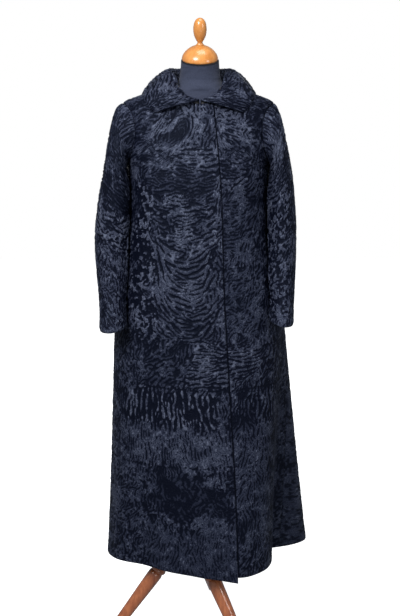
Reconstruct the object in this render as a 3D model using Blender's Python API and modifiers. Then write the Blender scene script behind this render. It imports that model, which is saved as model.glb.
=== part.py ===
"""Full-length broadtail fur coat on a limbless dress form with a turned tripod stand.

Metres, +Z up. The coat's front faces -Y, and the wearer's left is at +X. Everything is
worked out about the form's own upright axis, and an empty then carries that axis to its
place, so that the origin is the middle of the footprint on the floor.

The coat's outer surface is one shell. A place on it is (turn, z): turn runs round the
body in degrees, 0 at the centre front, 90 at the wearer's left side, 180 at the back.
Each panel is a wall that takes its own stretch of that shell.
"""

import math
from collections import namedtuple

import bmesh
import bpy
import numpy as np
from mathutils import Matrix, Vector

# ---------------------------------------------------------------- driving dimensions
AXIS = (-0.0167, -0.0261, 0.0)  # the form's axis, from the middle of the footprint
WALL = 0.004  # pelt, curl and lining together
SEAM = 0.0003  # gap between pieces at a seam
ARMPIT_Z = 1.340
SHOULDER_TIP_Z = 1.503
NECK_POINT_Z = 1.556  # where the shoulder seam meets the neckline
NECK_POINT_X = 0.072
FRONT_NECK_Z = 1.500
BACK_NECK_Z = 1.560
OVERLAP = 0.065  # how far the right front laps over the left
OVERLAP_LIFT = WALL + 0.002  # how far the upper front stands off the shell there
OVERLAP_RAMP = 14.0  # degrees over which it rises
ARMHOLE_FRONT = 0.066  # reach of the armhole's oval before and behind the shoulder
ARMHOLE_BACK = 0.070

LOWER_ROWS = 16  # rows of each panel's wall from hem to armpit
UPPER_ROWS = 12  # and from armpit to shoulder
SHOULDER_COLUMNS = 6  # columns that end at the shoulder seam; the others at the neckline
NECK_STEP = 11.25  # degrees round the neckline between columns, and collar stations
SLEEVE_SIDES = 2 * UPPER_ROWS  # so that its corners meet the panels' at the armhole

# The plain sections: half widths to the wearer's right and left, depths before and
# behind the axis, and how square the section is.
Section = namedtuple("Section", "z right left front back square")
SECTIONS = (
    Section(0.200, 0.258, 0.262, 0.172, 0.188, 0.06),
    Section(0.350, 0.252, 0.255, 0.167, 0.183, 0.06),
    Section(0.510, 0.246, 0.248, 0.161, 0.177, 0.06),
    Section(0.690, 0.241, 0.240, 0.155, 0.170, 0.06),
    Section(0.880, 0.235, 0.229, 0.150, 0.160, 0.08),
    Section(1.050, 0.210, 0.203, 0.145, 0.149, 0.10),
    Section(1.170, 0.195, 0.184, 0.141, 0.142, 0.12),
    Section(1.280, 0.190, 0.181, 0.138, 0.135, 0.14),
    Section(1.340, 0.191, 0.183, 0.132, 0.131, 0.15),
    Section(1.420, 0.196, 0.188, 0.116, 0.126, 0.16),
    Section(1.470, 0.200, 0.192, 0.100, 0.117, 0.16),
    Section(1.503, 0.202, 0.194, 0.088, 0.107, 0.14),
    Section(1.530, 0.142, 0.138, 0.080, 0.096, 0.08),
    Section(1.556, 0.072, 0.072, 0.071, 0.086, 0.04),
    Section(1.570, 0.050, 0.050, 0.064, 0.082, 0.02),
)

# Flutes and hollows of the hanging cloth: each is a soft ridge, or a trough where its
# height is below 0, that grows from its top down to the hem.
Fold = namedtuple("Fold", "name top_turn hem_turn width height top_z")
FOLDS = (
    Fold("left_back_flute", 98, 107, 13, 0.083, 1.10),
    Fold("left_side_hollow", 76, 82, 17, -0.064, 1.00),
    Fold("left_front_hollow", 62, 60, 13, -0.020, 0.85),
    Fold("front_edge_kick", 20, 27, 12, 0.014, 0.70),
    Fold("right_front_hollow", -36, -42, 20, -0.024, 0.95),
    Fold("right_side_flute", -97, -92, 14, 0.012, 1.12),
    Fold("right_back_hollow", -118, -120, 13, -0.018, 0.95),
    Fold("right_back_flute", -140, -142, 14, 0.016, 1.05),
    Fold("centre_back_hollow", -172, -172, 15, -0.016, 1.00),
    Fold("back_flute", 160, 158, 14, 0.014, 1.05),
    Fold("left_back_hollow", 134, 134, 13, -0.016, 0.95),
)

Hem = namedtuple("Hem", "turn z")
HEMS = (
    Hem(-180, 0.238),
    Hem(-90, 0.231),
    Hem(-60, 0.240),
    Hem(-35, 0.2440),
    Hem(-17, 0.2435),
    Hem(4, 0.2375),
    Hem(30, 0.231),
    Hem(58, 0.231),
    Hem(82, 0.249),
    Hem(100, 0.236),
    Hem(180, 0.238),
)
CORNER_DROP = 0.014  # the upper front's corner hangs this much lower
CORNER_REACH = 22.0  # degrees over which the drop fades

# The upper front's edge: how far to the wearer's left of the centre it runs.
Edge = namedtuple("Edge", "z x")
FRONT_EDGE = (
    Edge(0.20, 0.102),
    Edge(0.51, 0.091),
    Edge(0.69, 0.081),
    Edge(0.88, 0.069),
    Edge(1.05, 0.060),
    Edge(1.24, 0.055),
    Edge(1.50, 0.034),
)

# A sleeve's rings, from the armhole to the cuff: how far out and how high its outer line
# and its underarm line are, and its reach before and behind the axis.
Ring = namedtuple("Ring", "out_x out_z in_x in_z front back")
LEFT_SLEEVE = (
    Ring(0.1940, 1.5030, 0.1830, 1.3400, -0.066, 0.070),
    Ring(0.1990, 1.4995, 0.1852, 1.3400, -0.068, 0.072),
    Ring(0.2035, 1.4930, 0.1868, 1.3340, -0.070, 0.074),
    Ring(0.2080, 1.4820, 0.1850, 1.3235, -0.074, 0.075),
    Ring(0.2150, 1.4630, 0.1820, 1.3090, -0.080, 0.074),
    Ring(0.2235, 1.4270, 0.1790, 1.2920, -0.087, 0.070),
    Ring(0.2325, 1.3850, 0.1740, 1.2660, -0.092, 0.065),
    Ring(0.2418, 1.3380, 0.1735, 1.2350, -0.095, 0.061),
    Ring(0.2490, 1.2900, 0.1775, 1.2000, -0.097, 0.057),
    Ring(0.2542, 1.2350, 0.1765, 1.1600, -0.098, 0.053),
    Ring(0.2575, 1.1800, 0.1760, 1.1200, -0.101, 0.047),
    Ring(0.2575, 1.1250, 0.1760, 1.0800, -0.106, 0.038),
    Ring(0.2560, 1.0700, 0.1770, 1.0400, -0.114, 0.026),
    Ring(0.2530, 1.0180, 0.1835, 1.0020, -0.127, 0.008),
    Ring(0.2500, 0.9710, 0.1840, 0.9700, -0.145, -0.016),
    Ring(0.2480, 0.9290, 0.1840, 0.9380, -0.164, -0.040),
)
RIGHT_SLEEVE = (
    Ring(0.2020, 1.5030, 0.1910, 1.3400, -0.066, 0.070),
    Ring(0.2085, 1.5015, 0.1932, 1.3400, -0.068, 0.072),
    Ring(0.2155, 1.4970, 0.1948, 1.3340, -0.070, 0.074),
    Ring(0.2230, 1.4870, 0.1930, 1.3235, -0.074, 0.075),
    Ring(0.2310, 1.4630, 0.1900, 1.3090, -0.080, 0.074),
    Ring(0.2390, 1.4290, 0.1830, 1.2920, -0.087, 0.070),
    Ring(0.2465, 1.3880, 0.1805, 1.2660, -0.092, 0.065),
    Ring(0.2545, 1.3430, 0.1800, 1.2350, -0.095, 0.061),
    Ring(0.2635, 1.2900, 0.1810, 1.2000, -0.097, 0.057),
    Ring(0.2730, 1.2350, 0.1835, 1.1600, -0.098, 0.053),
    Ring(0.2795, 1.1800, 0.1840, 1.1200, -0.101, 0.047),
    Ring(0.2815, 1.1250, 0.1850, 1.0800, -0.106, 0.038),
    Ring(0.2780, 1.0700, 0.1870, 1.0400, -0.114, 0.026),
    Ring(0.2725, 1.0180, 0.1940, 1.0020, -0.127, 0.008),
    Ring(0.2680, 0.9640, 0.1950, 0.9600, -0.145, -0.016),
    Ring(0.2670, 0.9130, 0.1950, 0.9210, -0.164, -0.040),
)
SEAM_FADE = (1.0, 0.75, 0.45, 0.2, 0.06)  # the armhole's own shape, ring by ring
ATTACHED_RINGS = 3  # these lie at the armhole seam, the rest hang clear of the body
SLEEVE_CLEAR = 0.003

# The collar, from its front end to the centre back: where its fold (roll) runs, and
# where its outer edge lies on the shell.
Station = namedtuple("Station", "turn roll_x roll_y roll_z edge_turn edge_z")
COLLAR = (
    Station(1.5, 0.0020, -0.0945, 1.511, 33, 1.478),
    Station(28, 0.035, -0.085, 1.522, 39, 1.488),
    Station(50, 0.056, -0.059, 1.543, 43, 1.505),
    Station(70, 0.071, -0.032, 1.567, 58, 1.521),
    Station(90, 0.079, 0.004, 1.585, 87, 1.5345),
    Station(115, 0.0775, 0.042, 1.592, 118, 1.518),
    Station(145, 0.055, 0.082, 1.593, 150, 1.488),
    Station(180, 0.000, 0.102, 1.594, 180, 1.474),
    Station(215, -0.055, 0.082, 1.593, 210, 1.488),
)
COLLAR_WALL = 0.004
STAND_STEPS = 4
FALL_STEPS = 6
COLLAR_CLEAR = 0.0025  # between the fall and the coat under it
COLLAR_SEAM = 0.0006  # between the stand and the neckline

# ---------------------------------------------------------------- dress form and stand
FORM_CLEAR = 0.0066  # the form's shoulders lie this far inside the coat's outer face
FORM_SLACK = 0.012  # and its chest and back this much further
FormRing = namedtuple("FormRing", "z side front back middle slope")
TORSO = (
    FormRing(0.800, 0.150, 0.100, 0.112, 0.004, 0.0),
    FormRing(0.850, 0.160, 0.104, 0.120, 0.004, 0.0),
    FormRing(0.920, 0.163, 0.105, 0.118, 0.004, 0.0),
    FormRing(1.000, 0.146, 0.098, 0.102, 0.003, 0.0),
    FormRing(1.080, 0.122, 0.092, 0.088, 0.002, 0.0),
    FormRing(1.160, 0.128, 0.100, 0.090, 0.000, 0.0),
    FormRing(1.260, 0.148, 0.120, 0.101, 0.000, 0.0),
    FormRing(1.330, 0.157, 0.119, 0.106, 0.000, 0.0),
    FormRing(1.400, 0.168, 0.104, 0.112, 0.000, 0.0),
    FormRing(1.450, 0.178, 0.094, 0.107, 0.000, 0.0),
    FormRing(1.485, 0.182, 0.086, 0.100, 0.000, 0.0),
)
SHOULDER_LEVELS = (1.506, 1.512, 1.519, 1.528, 1.539)  # on the coat's own shell
NECK = (
    FormRing(1.549, 0.064, 0.060, 0.062, 0.002, 0.02),
    FormRing(1.562, 0.057, 0.053, 0.055, 0.001, 0.08),
    FormRing(1.580, 0.0525, 0.050, 0.052, 0.000, 0.18),
    FormRing(1.600, 0.0505, 0.049, 0.050, -0.002, 0.28),
    FormRing(1.615, 0.0495, 0.049, 0.049, -0.004, 0.31),
)
FORM_SIDES = 28

# Turned pieces: radius, and height above the piece's own base.
Turned = namedtuple("Turned", "radius height")
CAP_PROFILE = (
    Turned(0.0, 0.0395),
    Turned(0.0085, 0.0390),
    Turned(0.0235, 0.0325),
    Turned(0.0360, 0.0240),
    Turned(0.0445, 0.0135),
    Turned(0.0475, 0.0050),
    Turned(0.0470, 0.0),
    Turned(0.0, 0.0),
)
FINIAL_PROFILE = (
    Turned(0.0, 0.0680),
    Turned(0.0060, 0.0667),
    Turned(0.0115, 0.0620),
    Turned(0.0155, 0.0540),
    Turned(0.0174, 0.0430),
    Turned(0.0172, 0.0330),
    Turned(0.0150, 0.0220),
    Turned(0.0110, 0.0120),
    Turned(0.0075, 0.0045),
    Turned(0.0080, 0.0),
    Turned(0.0, 0.0),
)

STAND_X = -0.028  # the pole stands this far from the neck's axis
FORK_Z = 0.308  # where the legs' axes meet the pole's
SPLAY = math.radians(37.4)  # each leg's angle from upright
LEG_TURNS = (42.5, 162.5, -77.5)
TENON_START = 0.030  # distances from the fork, along a leg
TENON_RADIUS = 0.010
HUB_SEAT = 0.046
FOOT_RUN = 0.415  # the turned length, which the floor cuts off
LEG_PROFILE = (  # radius and distance from the fork
    Turned(0.0140, HUB_SEAT + SEAM),
    Turned(0.0165, 0.0560),
    Turned(0.0190, 0.0850),
    Turned(0.0175, 0.1150),
    Turned(0.0150, 0.1400),
    Turned(0.0205, 0.1490),
    Turned(0.0225, 0.1540),
    Turned(0.0205, 0.1590),
    Turned(0.0170, 0.1620),
    Turned(0.0200, 0.1670),
    Turned(0.0205, 0.1800),
    Turned(0.0185, 0.2500),
    Turned(0.0160, 0.3300),
    Turned(0.0145, FOOT_RUN),
)
HUB_TOP = 0.352
HUB_PROFILE = (
    Turned(0.0, HUB_TOP),
    Turned(0.0200, HUB_TOP),
    Turned(0.0240, 0.346),
    Turned(0.0240, 0.338),
    Turned(0.0360, 0.330),
    Turned(0.0450, 0.318),
    Turned(0.0470, 0.305),
)
HUB_RADIUS = 0.047
HUB_NOSE = 0.010  # radius of the flat under the hub
POLE_RADIUS = 0.0165
TURNED_STEPS = 20
LEG_STEPS = 16


# ---------------------------------------------------------------- curves and the shell
def smooth(rows, key, field, at):
    """A table's column as a monotone cubic of its key, held level past the ends."""
    keys = np.array([getattr(row, key) for row in rows], float)
    values = np.array([getattr(row, field) for row in rows], float)
    at = np.clip(np.asarray(at, float), keys[0], keys[-1])
    steps = np.diff(keys)
    rises = np.diff(values) / steps
    before, after = rises[:-1], rises[1:]
    agree = before * after > 0
    inner = np.where(agree, 2 * before * after / np.where(agree, before + after, 1), 0)
    tangents = np.concatenate((rises[:1], inner, rises[-1:]))
    i = np.clip(np.searchsorted(keys, at, side="right") - 1, 0, len(steps) - 1)
    t = (at - keys[i]) / steps[i]
    return (
        values[i] * (1 + 2 * t) * (1 - t) ** 2
        + values[i + 1] * t**2 * (3 - 2 * t)
        + steps[i] * (tangents[i] * t * (1 - t) ** 2 - tangents[i + 1] * t**2 * (1 - t))
    )


def ease(t):
    """0 to 1 with level ends."""
    t = np.clip(t, 0, 1)
    return t * t * (3 - 2 * t)


def unit(vectors):
    return vectors / np.linalg.norm(vectors, axis=-1, keepdims=True)


def half_width(z, left):
    """The shell's reach to one side; left may be an array of True and False."""
    return np.where(left, smooth(SECTIONS, "z", "left", z), smooth(SECTIONS, "z", "right", z))


def depth(z, front):
    """The shell's reach before or behind the axis."""
    return np.where(front, smooth(SECTIONS, "z", "front", z), smooth(SECTIONS, "z", "back", z))


def fold_height(turn, z):
    """How far the folds push the shell out at a place."""
    height = np.zeros(turn.shape)
    for fold in FOLDS:
        down = np.clip((fold.top_z - z) / (fold.top_z - SECTIONS[0].z), 0, 1)
        middle = fold.top_turn + (fold.hem_turn - fold.top_turn) * down
        away = (turn - middle + 180) % 360 - 180
        height += fold.height * down**1.4 * np.exp(-((away / fold.width) ** 2))
    return height


def shell(turn, z):
    """Points of the coat's outer surface."""
    turn, z = np.broadcast_arrays(np.asarray(turn, float), np.asarray(z, float))
    sine, cosine = np.sin(np.radians(turn)), np.cos(np.radians(turn))
    side, reach = half_width(z, sine > 0), depth(z, cosine > 0)
    square = smooth(SECTIONS, "z", "square", z)
    out_x, out_y = sine / side, -cosine / reach
    push = fold_height(turn, z) / np.hypot(out_x, out_y)
    x = side * sine + push * out_x
    y = -reach * cosine * (1 + square * sine**2) + push * out_y
    return np.stack((x, y, z), axis=-1)


def shell_normal(turn, z):
    """Unit vectors that point out of the shell."""
    turn_step, z_step = 0.4, 0.0015
    along = shell(turn + turn_step, z) - shell(turn - turn_step, z)
    up = shell(turn, z + z_step) - shell(turn, z - z_step)
    return unit(np.cross(along, up))


def stood_off(points, least, low, high):
    """The points, moved out where they lie nearer to the shell than least."""
    turn, z = np.meshgrid(np.arange(-180.0, 180.0, 2.0), np.arange(low, high, 0.006))
    faces = shell(turn, z).reshape(-1, 3)
    normals = shell_normal(turn, z).reshape(-1, 3)
    flat = points.reshape(-1, 3).copy()
    gaps = np.broadcast_to(least, points.shape[:-1]).reshape(-1)
    for index, point in enumerate(flat):
        nearest = np.argmin(((faces - point) ** 2).sum(axis=1))
        height = (point - faces[nearest]) @ normals[nearest]
        flat[index] += normals[nearest] * max(0.0, gaps[index] - height)
    return flat.reshape(points.shape)


# ---------------------------------------------------------------- the panels' outlines
# "Toward" is the angle from the centre line to the side seam: 0 at the centre front or
# centre back, 90 at the side, below 0 past the centre on the other side of the body.
def turn_of(toward, left, front):
    turn = toward if front else 180 - toward
    return turn if left else -turn


def armhole(share, left, front):
    """Toward and z along half an armhole, from the armpit (0) to the shoulder tip (1)."""
    share = 1 - (1 - share) ** 1.5
    z = ARMPIT_Z + (SHOULDER_TIP_Z - ARMPIT_Z) * (1 - np.cos(np.pi * share)) / 2
    rounding = np.where(share < 0.5, 1.3, 0.8)
    reach = (ARMHOLE_FRONT if front else ARMHOLE_BACK) * np.sin(np.pi * share) ** rounding
    square = smooth(SECTIONS, "z", "square", z)
    return np.degrees(np.arccos(np.clip(reach / (depth(z, front) * (1 + 0.8 * square)), 0, 1))), z


def neckline(round_turn):
    """x and z of the neckline, whose turn is 0 at the centre front and 180 at the back."""
    sine, cosine = np.sin(np.radians(round_turn)), np.cos(np.radians(round_turn))
    low = np.where(cosine > 0, FRONT_NECK_Z, BACK_NECK_Z)
    return NECK_POINT_X * sine, NECK_POINT_Z + (low - NECK_POINT_Z) * abs(cosine) ** 1.5


def spread(x, z, left):
    """An angle that stands for x, on sections that the shoulders don't narrow."""
    wide = half_width(np.minimum(z, SHOULDER_TIP_Z), left == (x > 0))
    return np.degrees(np.arcsin(np.clip(x / wide, -1, 1)))


def x_of_spread(angle, z, left):
    return np.sin(np.radians(angle)) * half_width(
        np.minimum(z, SHOULDER_TIP_Z), left == (angle > 0)
    )


def toward_of(x, z, left):
    """The angle from the centre line where the shell has this x at this height."""
    return np.degrees(np.arcsin(np.clip(x / half_width(z, left == (x > 0)), -1, 1)))


def top_line(inner_x, left, front):
    """Spread and z of a panel's upper edge: the neckline, then the shoulder seam."""
    start = math.degrees(math.asin(inner_x / NECK_POINT_X))
    rounds = np.arange(math.floor(start / NECK_STEP + 1.3) * NECK_STEP, 90.1, NECK_STEP)
    neck_x, neck_z = neckline(turn_of(np.concatenate(((start,), rounds)), True, front))
    tip = float(half_width(SHOULDER_TIP_Z, left))
    seam_x = np.linspace(NECK_POINT_X, tip, SHOULDER_COLUMNS + 1)[1:]
    levels = np.linspace(NECK_POINT_Z, SHOULDER_TIP_Z, 80)
    seam_z = np.interp(seam_x, half_width(levels, left), levels)
    x, z = np.concatenate((neck_x, seam_x)), np.concatenate((neck_z, seam_z))
    return spread(x, z, left), z


def half_panel(left, front, inner, inner_top_x, drop=0.0):
    """Turn and z grids of a front, or of half the back.

    Rows run from hem to shoulder, columns from the inner edge to the side. inner gives
    the inner edge's toward angle at a height, drop how far its corner hangs lower.
    """
    top, top_z = top_line(inner_top_x, left, front)
    across = np.linspace(0, 1, len(top))
    spaced = (across + (top - top[0]) / (top[-1] - top[0])) / 2
    towards, heights = [], []
    for share in np.arange(LOWER_ROWS) / LOWER_ROWS:
        edge = inner(HEMS[0].z + (ARMPIT_Z - HEMS[0].z) * share)
        toward = edge + (90 - edge) * spaced
        low = smooth(HEMS, "turn", "z", turn_of(toward, left, front))
        low = low - drop * np.exp((edge - toward) / CORNER_REACH)
        towards.append(toward)
        heights.append(low + (ARMPIT_Z - low) * share)
    # Above the armpit the rows bend from level to the line of neck and shoulder, and
    # close up towards it, where the shoulder rounds over.
    edge = inner(ARMPIT_Z)
    base = edge + (90 - edge) * spaced
    for share in np.linspace(0, 1, UPPER_ROWS + 1):
        up = 1 - (1 - share) ** 1.7
        rise = up * (top_z - ARMPIT_Z)
        inner_z = ARMPIT_Z + rise[0]
        inner_toward = float(inner(inner_z))
        inner_x = math.sin(math.radians(inner_toward)) * float(
            half_width(inner_z, left == (inner_toward > 0))
        )
        arm, arm_z = armhole(share, left, front)
        plain = (1 - up) * base + up * top
        pull = across ** (1 + 6 * share**3)  # the armhole's pull spares the neckline
        angle = (
            plain
            + (1 - across) * (spread(inner_x, inner_z, left) - plain[0])
            + pull * (arm - plain[-1])
        )
        z = ARMPIT_Z + rise + pull * (arm_z - ARMPIT_Z - rise[-1])
        toward = toward_of(x_of_spread(angle, z, left), z, left)
        towards.append(toward)
        heights.append(z)
    return turn_of(np.array(towards), left, front), np.array(heights)


def upper_edge(z):
    """Turn of the upper front's edge."""
    return toward_of(smooth(FRONT_EDGE, "z", "x", z), z, True)


def under_edge(z):
    """Turn of the under front's edge, which the upper front hides."""
    return toward_of(smooth(FRONT_EDGE, "z", "x", z) - OVERLAP, z, True)


def overlap_lift(turn, z):
    """How far the upper front stands off the shell, to lie over the under front."""
    return OVERLAP_LIFT * ease((turn - under_edge(z) + 1) / OVERLAP_RAMP + 1)


# ---------------------------------------------------------------- making meshes
def material(name, colour, roughness, coat=0.0):
    finish = bpy.data.materials.new(name)
    finish.use_nodes = True
    shader = finish.node_tree.nodes["Principled BSDF"]
    shader.inputs["Base Color"].default_value = (*colour, 1)
    shader.inputs["Roughness"].default_value = roughness
    shader.inputs["Metallic"].default_value = 0.0
    shader.inputs["Coat Weight"].default_value = coat
    return finish


def add_object(name, mesh, finish, collection, parent):
    piece = bpy.data.objects.new(name, mesh)
    mesh.materials.append(finish)
    collection.objects.link(piece)
    piece.parent = parent
    return piece


def grid_skin(points, tube):
    """A bmesh sheet through a grid of points, closed round where it is a tube."""
    rows, columns = points.shape[:2]
    sheet = bmesh.new()
    bmesh.ops.create_grid(sheet, x_segments=columns - 1, y_segments=rows - 1, size=1)
    place = sheet.verts.layers.int.new("place")
    for index, vert in enumerate(sheet.verts):
        vert.co = points.reshape(-1, 3)[index]
        vert[place] = index
    if tube:
        bmesh.ops.remove_doubles(sheet, verts=sheet.verts, dist=1e-6)
    return sheet, place


def smooth_mesh(name, sheet):
    bmesh.ops.recalc_face_normals(sheet, faces=sheet.faces)
    if sheet.calc_volume(signed=True) < 0:
        bmesh.ops.reverse_faces(sheet, faces=sheet.faces)
    mesh = bpy.data.meshes.new(name)
    sheet.to_mesh(mesh)
    sheet.free()
    mesh.shade_smooth()
    mesh.set_sharp_from_angle(angle=math.radians(50))
    return mesh


def wall_mesh(name, outer, inward, tube=False):
    """A wall between a grid of outer points and the same points moved inward."""
    sheet, place = grid_skin(outer, tube)
    extruded = bmesh.ops.extrude_face_region(sheet, geom=sheet.faces[:])["geom"]
    steps = inward.reshape(-1, 3)
    for vert in extruded:
        if isinstance(vert, bmesh.types.BMVert):
            vert.co += Vector(steps[vert[place]])
    return smooth_mesh(name, sheet)


def panel_mesh(name, turn, z, front, lift=0.0):
    """A panel's wall, half a seam's gap before or behind the side seams' plane."""
    normal = shell_normal(turn, z)
    outer = shell(turn, z) + normal * np.expand_dims(lift, -1)
    outer[..., 1] += -SEAM / 2 if front else SEAM / 2
    return wall_mesh(name, outer, -normal * WALL)


def front_right_mesh():
    turn, z = half_panel(
        left=False,
        front=True,
        inner=lambda z: -upper_edge(z),
        inner_top_x=-FRONT_EDGE[-1].x,
        drop=CORNER_DROP,
    )
    turn, z = turn[:, ::-1], z[:, ::-1]
    return panel_mesh("front_right", turn, z, True, overlap_lift(turn, z))


def front_left_mesh():
    turn, z = half_panel(
        left=True,
        front=True,
        inner=under_edge,
        inner_top_x=FRONT_EDGE[-1].x - OVERLAP,
    )
    return panel_mesh("front_left", turn, z, True)


def back_mesh():
    halves = [half_panel(left, False, lambda z: 0.0, 0.0) for left in (True, False)]
    (left_turn, left_z), (right_turn, right_z) = halves
    turn = np.concatenate((left_turn[:, ::-1], right_turn[:, 1:] + 360), axis=1)
    z = np.concatenate((left_z[:, ::-1], right_z[:, 1:]), axis=1)
    return panel_mesh("back", turn, z, False)


# ---------------------------------------------------------------- sleeves
def sleeve_grid(rings, left):
    """Outer points of a sleeve: rings from armhole to cuff, each from the underarm
    forwards, over the outer line and back."""
    around = np.linspace(0, 1, SLEEVE_SIDES + 1)
    up_front = around <= 0.5
    share = np.where(up_front, around * 2, 2 - around * 2)
    front, front_z = armhole(share, left, True)
    back, back_z = armhole(share, left, False)
    turn = np.where(up_front, turn_of(front, left, True), turn_of(back, left, False))
    seam = shell(turn, np.where(up_front, front_z, back_z))
    sign = 1 if left else -1
    circle = 2 * np.pi * around
    grid = []
    for ring in rings:
        outer = np.array((sign * ring.out_x, 0.0, ring.out_z))
        inner = np.array((sign * ring.in_x, 0.0, ring.in_z))
        middle = (outer + inner) / 2 + (0, (ring.front + ring.back) / 2, 0)
        across = (outer - inner) / 2
        ahead = np.array((0, (ring.front - ring.back) / 2, 0))
        grid.append(
            middle - np.outer(np.cos(circle), across) + np.outer(np.sin(circle), ahead)
        )
    grid = np.array(grid)
    own_shape = seam - grid[0]
    for index, keep in enumerate(SEAM_FADE):
        grid[index] += keep * own_shape
    grid[ATTACHED_RINGS:] = stood_off(grid[ATTACHED_RINGS:], SLEEVE_CLEAR, 0.85, 1.45)
    grid[..., 0] += sign * SEAM
    return grid


def tube_normals(grid):
    """Unit normals of a grid whose columns run round and meet."""
    closed = np.concatenate((grid[:, -2:-1], grid, grid[:, 1:2]), axis=1)
    around = closed[:, 2:] - closed[:, :-2]
    down = np.gradient(grid, axis=0)
    return unit(np.cross(around, down))


def sleeve_mesh(name, rings, left):
    grid = sleeve_grid(rings, left)
    normals = tube_normals(grid)
    middle = grid.mean(axis=1, keepdims=True)
    normals *= np.sign(((grid - middle) * normals).sum(axis=(1, 2), keepdims=True))
    return wall_mesh(name, grid, -normals * WALL, tube=True)


# ---------------------------------------------------------------- collar
def bezier(start, leave, arrive, end, share):
    share = share[:, None]
    return (
        start * (1 - share) ** 3
        + 3 * leave * share * (1 - share) ** 2
        + 3 * arrive * share**2 * (1 - share)
        + end * share**3
    )


def collar_path(round_turn):
    """The middle of the collar's wall at one station, up the stand and down the fall, and
    the way that the neckline's own wall faces there."""
    folded = min(round_turn, 360 - round_turn)
    sign = 1 if round_turn <= 180 else -1
    value = {name: float(smooth(COLLAR, "turn", name, folded)) for name in Station._fields[1:]}

    def seam_point(at):
        x, z = neckline(at)
        turn = turn_of(float(toward_of(abs(x), z, x > 0)), x > 0, math.cos(math.radians(at)) > 0)
        return shell(turn, z), shell_normal(turn, z)

    seam, out = seam_point(round_turn)
    along = seam_point(round_turn + 1)[0] - seam_point(round_turn - 1)[0]
    rise = unit(np.cross(out, along))
    base = seam - out * WALL / 2 + rise * COLLAR_SEAM
    roll = np.array((sign * value["roll_x"], value["roll_y"], value["roll_z"]))
    across = unit(np.array((roll[0], roll[1] - 0.004, 0.0)))
    edge_turn = sign * value["edge_turn"]
    edge_out = shell_normal(edge_turn, value["edge_z"])
    edge = shell(edge_turn, value["edge_z"])
    stand = np.linalg.norm(roll - base)
    fall = np.linalg.norm(edge - roll)
    edge = edge + edge_out * (COLLAR_CLEAR + COLLAR_WALL / 2)
    up = bezier(
        base,
        base + rise * stand * 0.42,
        roll - across * stand * 0.30,
        roll,
        np.linspace(0, 1, STAND_STEPS + 1),
    )
    down = bezier(
        roll,
        roll + across * fall * 0.22,
        edge + edge_out * fall * 0.16 + (roll - edge) * 0.30,
        edge,
        np.linspace(0, 1, FALL_STEPS + 1),
    )
    return up, down, out


def collar_mesh():
    half = np.concatenate(((COLLAR[0].turn,), np.arange(NECK_STEP, 180.1, NECK_STEP)))
    stations = np.concatenate((half, 360 - half[-2::-1]))
    paths = [collar_path(station) for station in stations]
    up = np.array([path[0] for path in paths])
    down = np.array([path[1] for path in paths])
    clear = COLLAR_CLEAR + COLLAR_WALL / 2 + OVERLAP_LIFT * (
        np.exp(-((down[..., 0] / 0.06) ** 2)) * (down[..., 1] < 0)
    )
    down[:, 1:] = stood_off(down[:, 1:], clear[:, 1:], 1.44, 1.57)
    middle = np.concatenate((up, down[:, 1:]), axis=1)
    along, over = np.gradient(middle, axis=0), np.gradient(middle, axis=1)
    normal = unit(np.cross(over, along))
    normal[:, 0] = [-path[2] for path in paths]
    outer = middle + normal * COLLAR_WALL / 2
    return wall_mesh("collar", outer, -normal * COLLAR_WALL)


# ---------------------------------------------------------------- dress form and stand
def form_ring(ring, turn):
    x = ring.side * np.sin(turn)
    reach = np.where(np.cos(turn) > 0, ring.front, ring.back)
    y = ring.middle - reach * np.cos(turn)
    return np.stack((x, y, ring.z + ring.slope * (y - ring.middle)), axis=-1)


def form_mesh():
    """Torso and neck: the shoulders are the coat's own shell, carried inside it."""
    degrees = np.linspace(-180, 180, FORM_SIDES + 1)
    rings = [form_ring(ring, np.radians(degrees)) for ring in TORSO]
    inside = FORM_CLEAR + FORM_SLACK * np.cos(np.radians(degrees))[:, None] ** 2
    for level in SHOULDER_LEVELS:
        rings.append(shell(degrees, level) - shell_normal(degrees, level) * inside)
    rings += [form_ring(ring, np.radians(degrees)) for ring in NECK]
    sheet, _ = grid_skin(np.array(rings), tube=True)
    bmesh.ops.holes_fill(sheet, edges=[edge for edge in sheet.edges if edge.is_boundary])
    return smooth_mesh("form", sheet)


def turned_mesh(name, profile):
    """A turned piece's profile, top to bottom, for a Screw modifier."""
    line = bmesh.new()
    points = [line.verts.new((turned.radius, 0, turned.height)) for turned in profile]
    for upper, lower in zip(points, points[1:]):
        line.edges.new((upper, lower))
    mesh = bpy.data.meshes.new(name)
    line.to_mesh(mesh)
    line.free()
    return mesh


def add_turned(name, profile, steps, finish, collection, parent):
    piece = add_object(name, turned_mesh(name, profile), finish, collection, parent)
    screw = piece.modifiers.new("Turn", "SCREW")
    screw.steps = screw.render_steps = steps
    screw.use_merge_vertices = True
    screw.merge_threshold = 1e-5
    screw.use_smooth_shade = True
    return piece


def add_cut(piece, cutter):
    cut = piece.modifiers.new("Cut", "BOOLEAN")
    cut.operation = "DIFFERENCE"
    cut.object = cutter


def leg_profile(tenon_radius, tenon_start, foot_run):
    """A leg hangs below its fork, so its run along the leg is a height below 0."""
    shoulder = LEG_PROFILE[0]
    profile = [
        Turned(0.0, -tenon_start),
        Turned(tenon_radius, -tenon_start),
        Turned(tenon_radius, -shoulder.height),
    ]
    profile += [Turned(point.radius, -point.height) for point in LEG_PROFILE]
    return profile + [Turned(0.0, -foot_run)]


def hub_profile():
    """The hub's cone-shaped underside is square to each leg."""
    def under(radius):
        return FORK_Z - (HUB_SEAT - radius * math.sin(SPLAY)) / math.cos(SPLAY)

    cone = [Turned(radius, under(radius)) for radius in (HUB_RADIUS, HUB_NOSE)]
    return list(HUB_PROFILE) + cone + [Turned(0.0, under(HUB_NOSE))]


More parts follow.
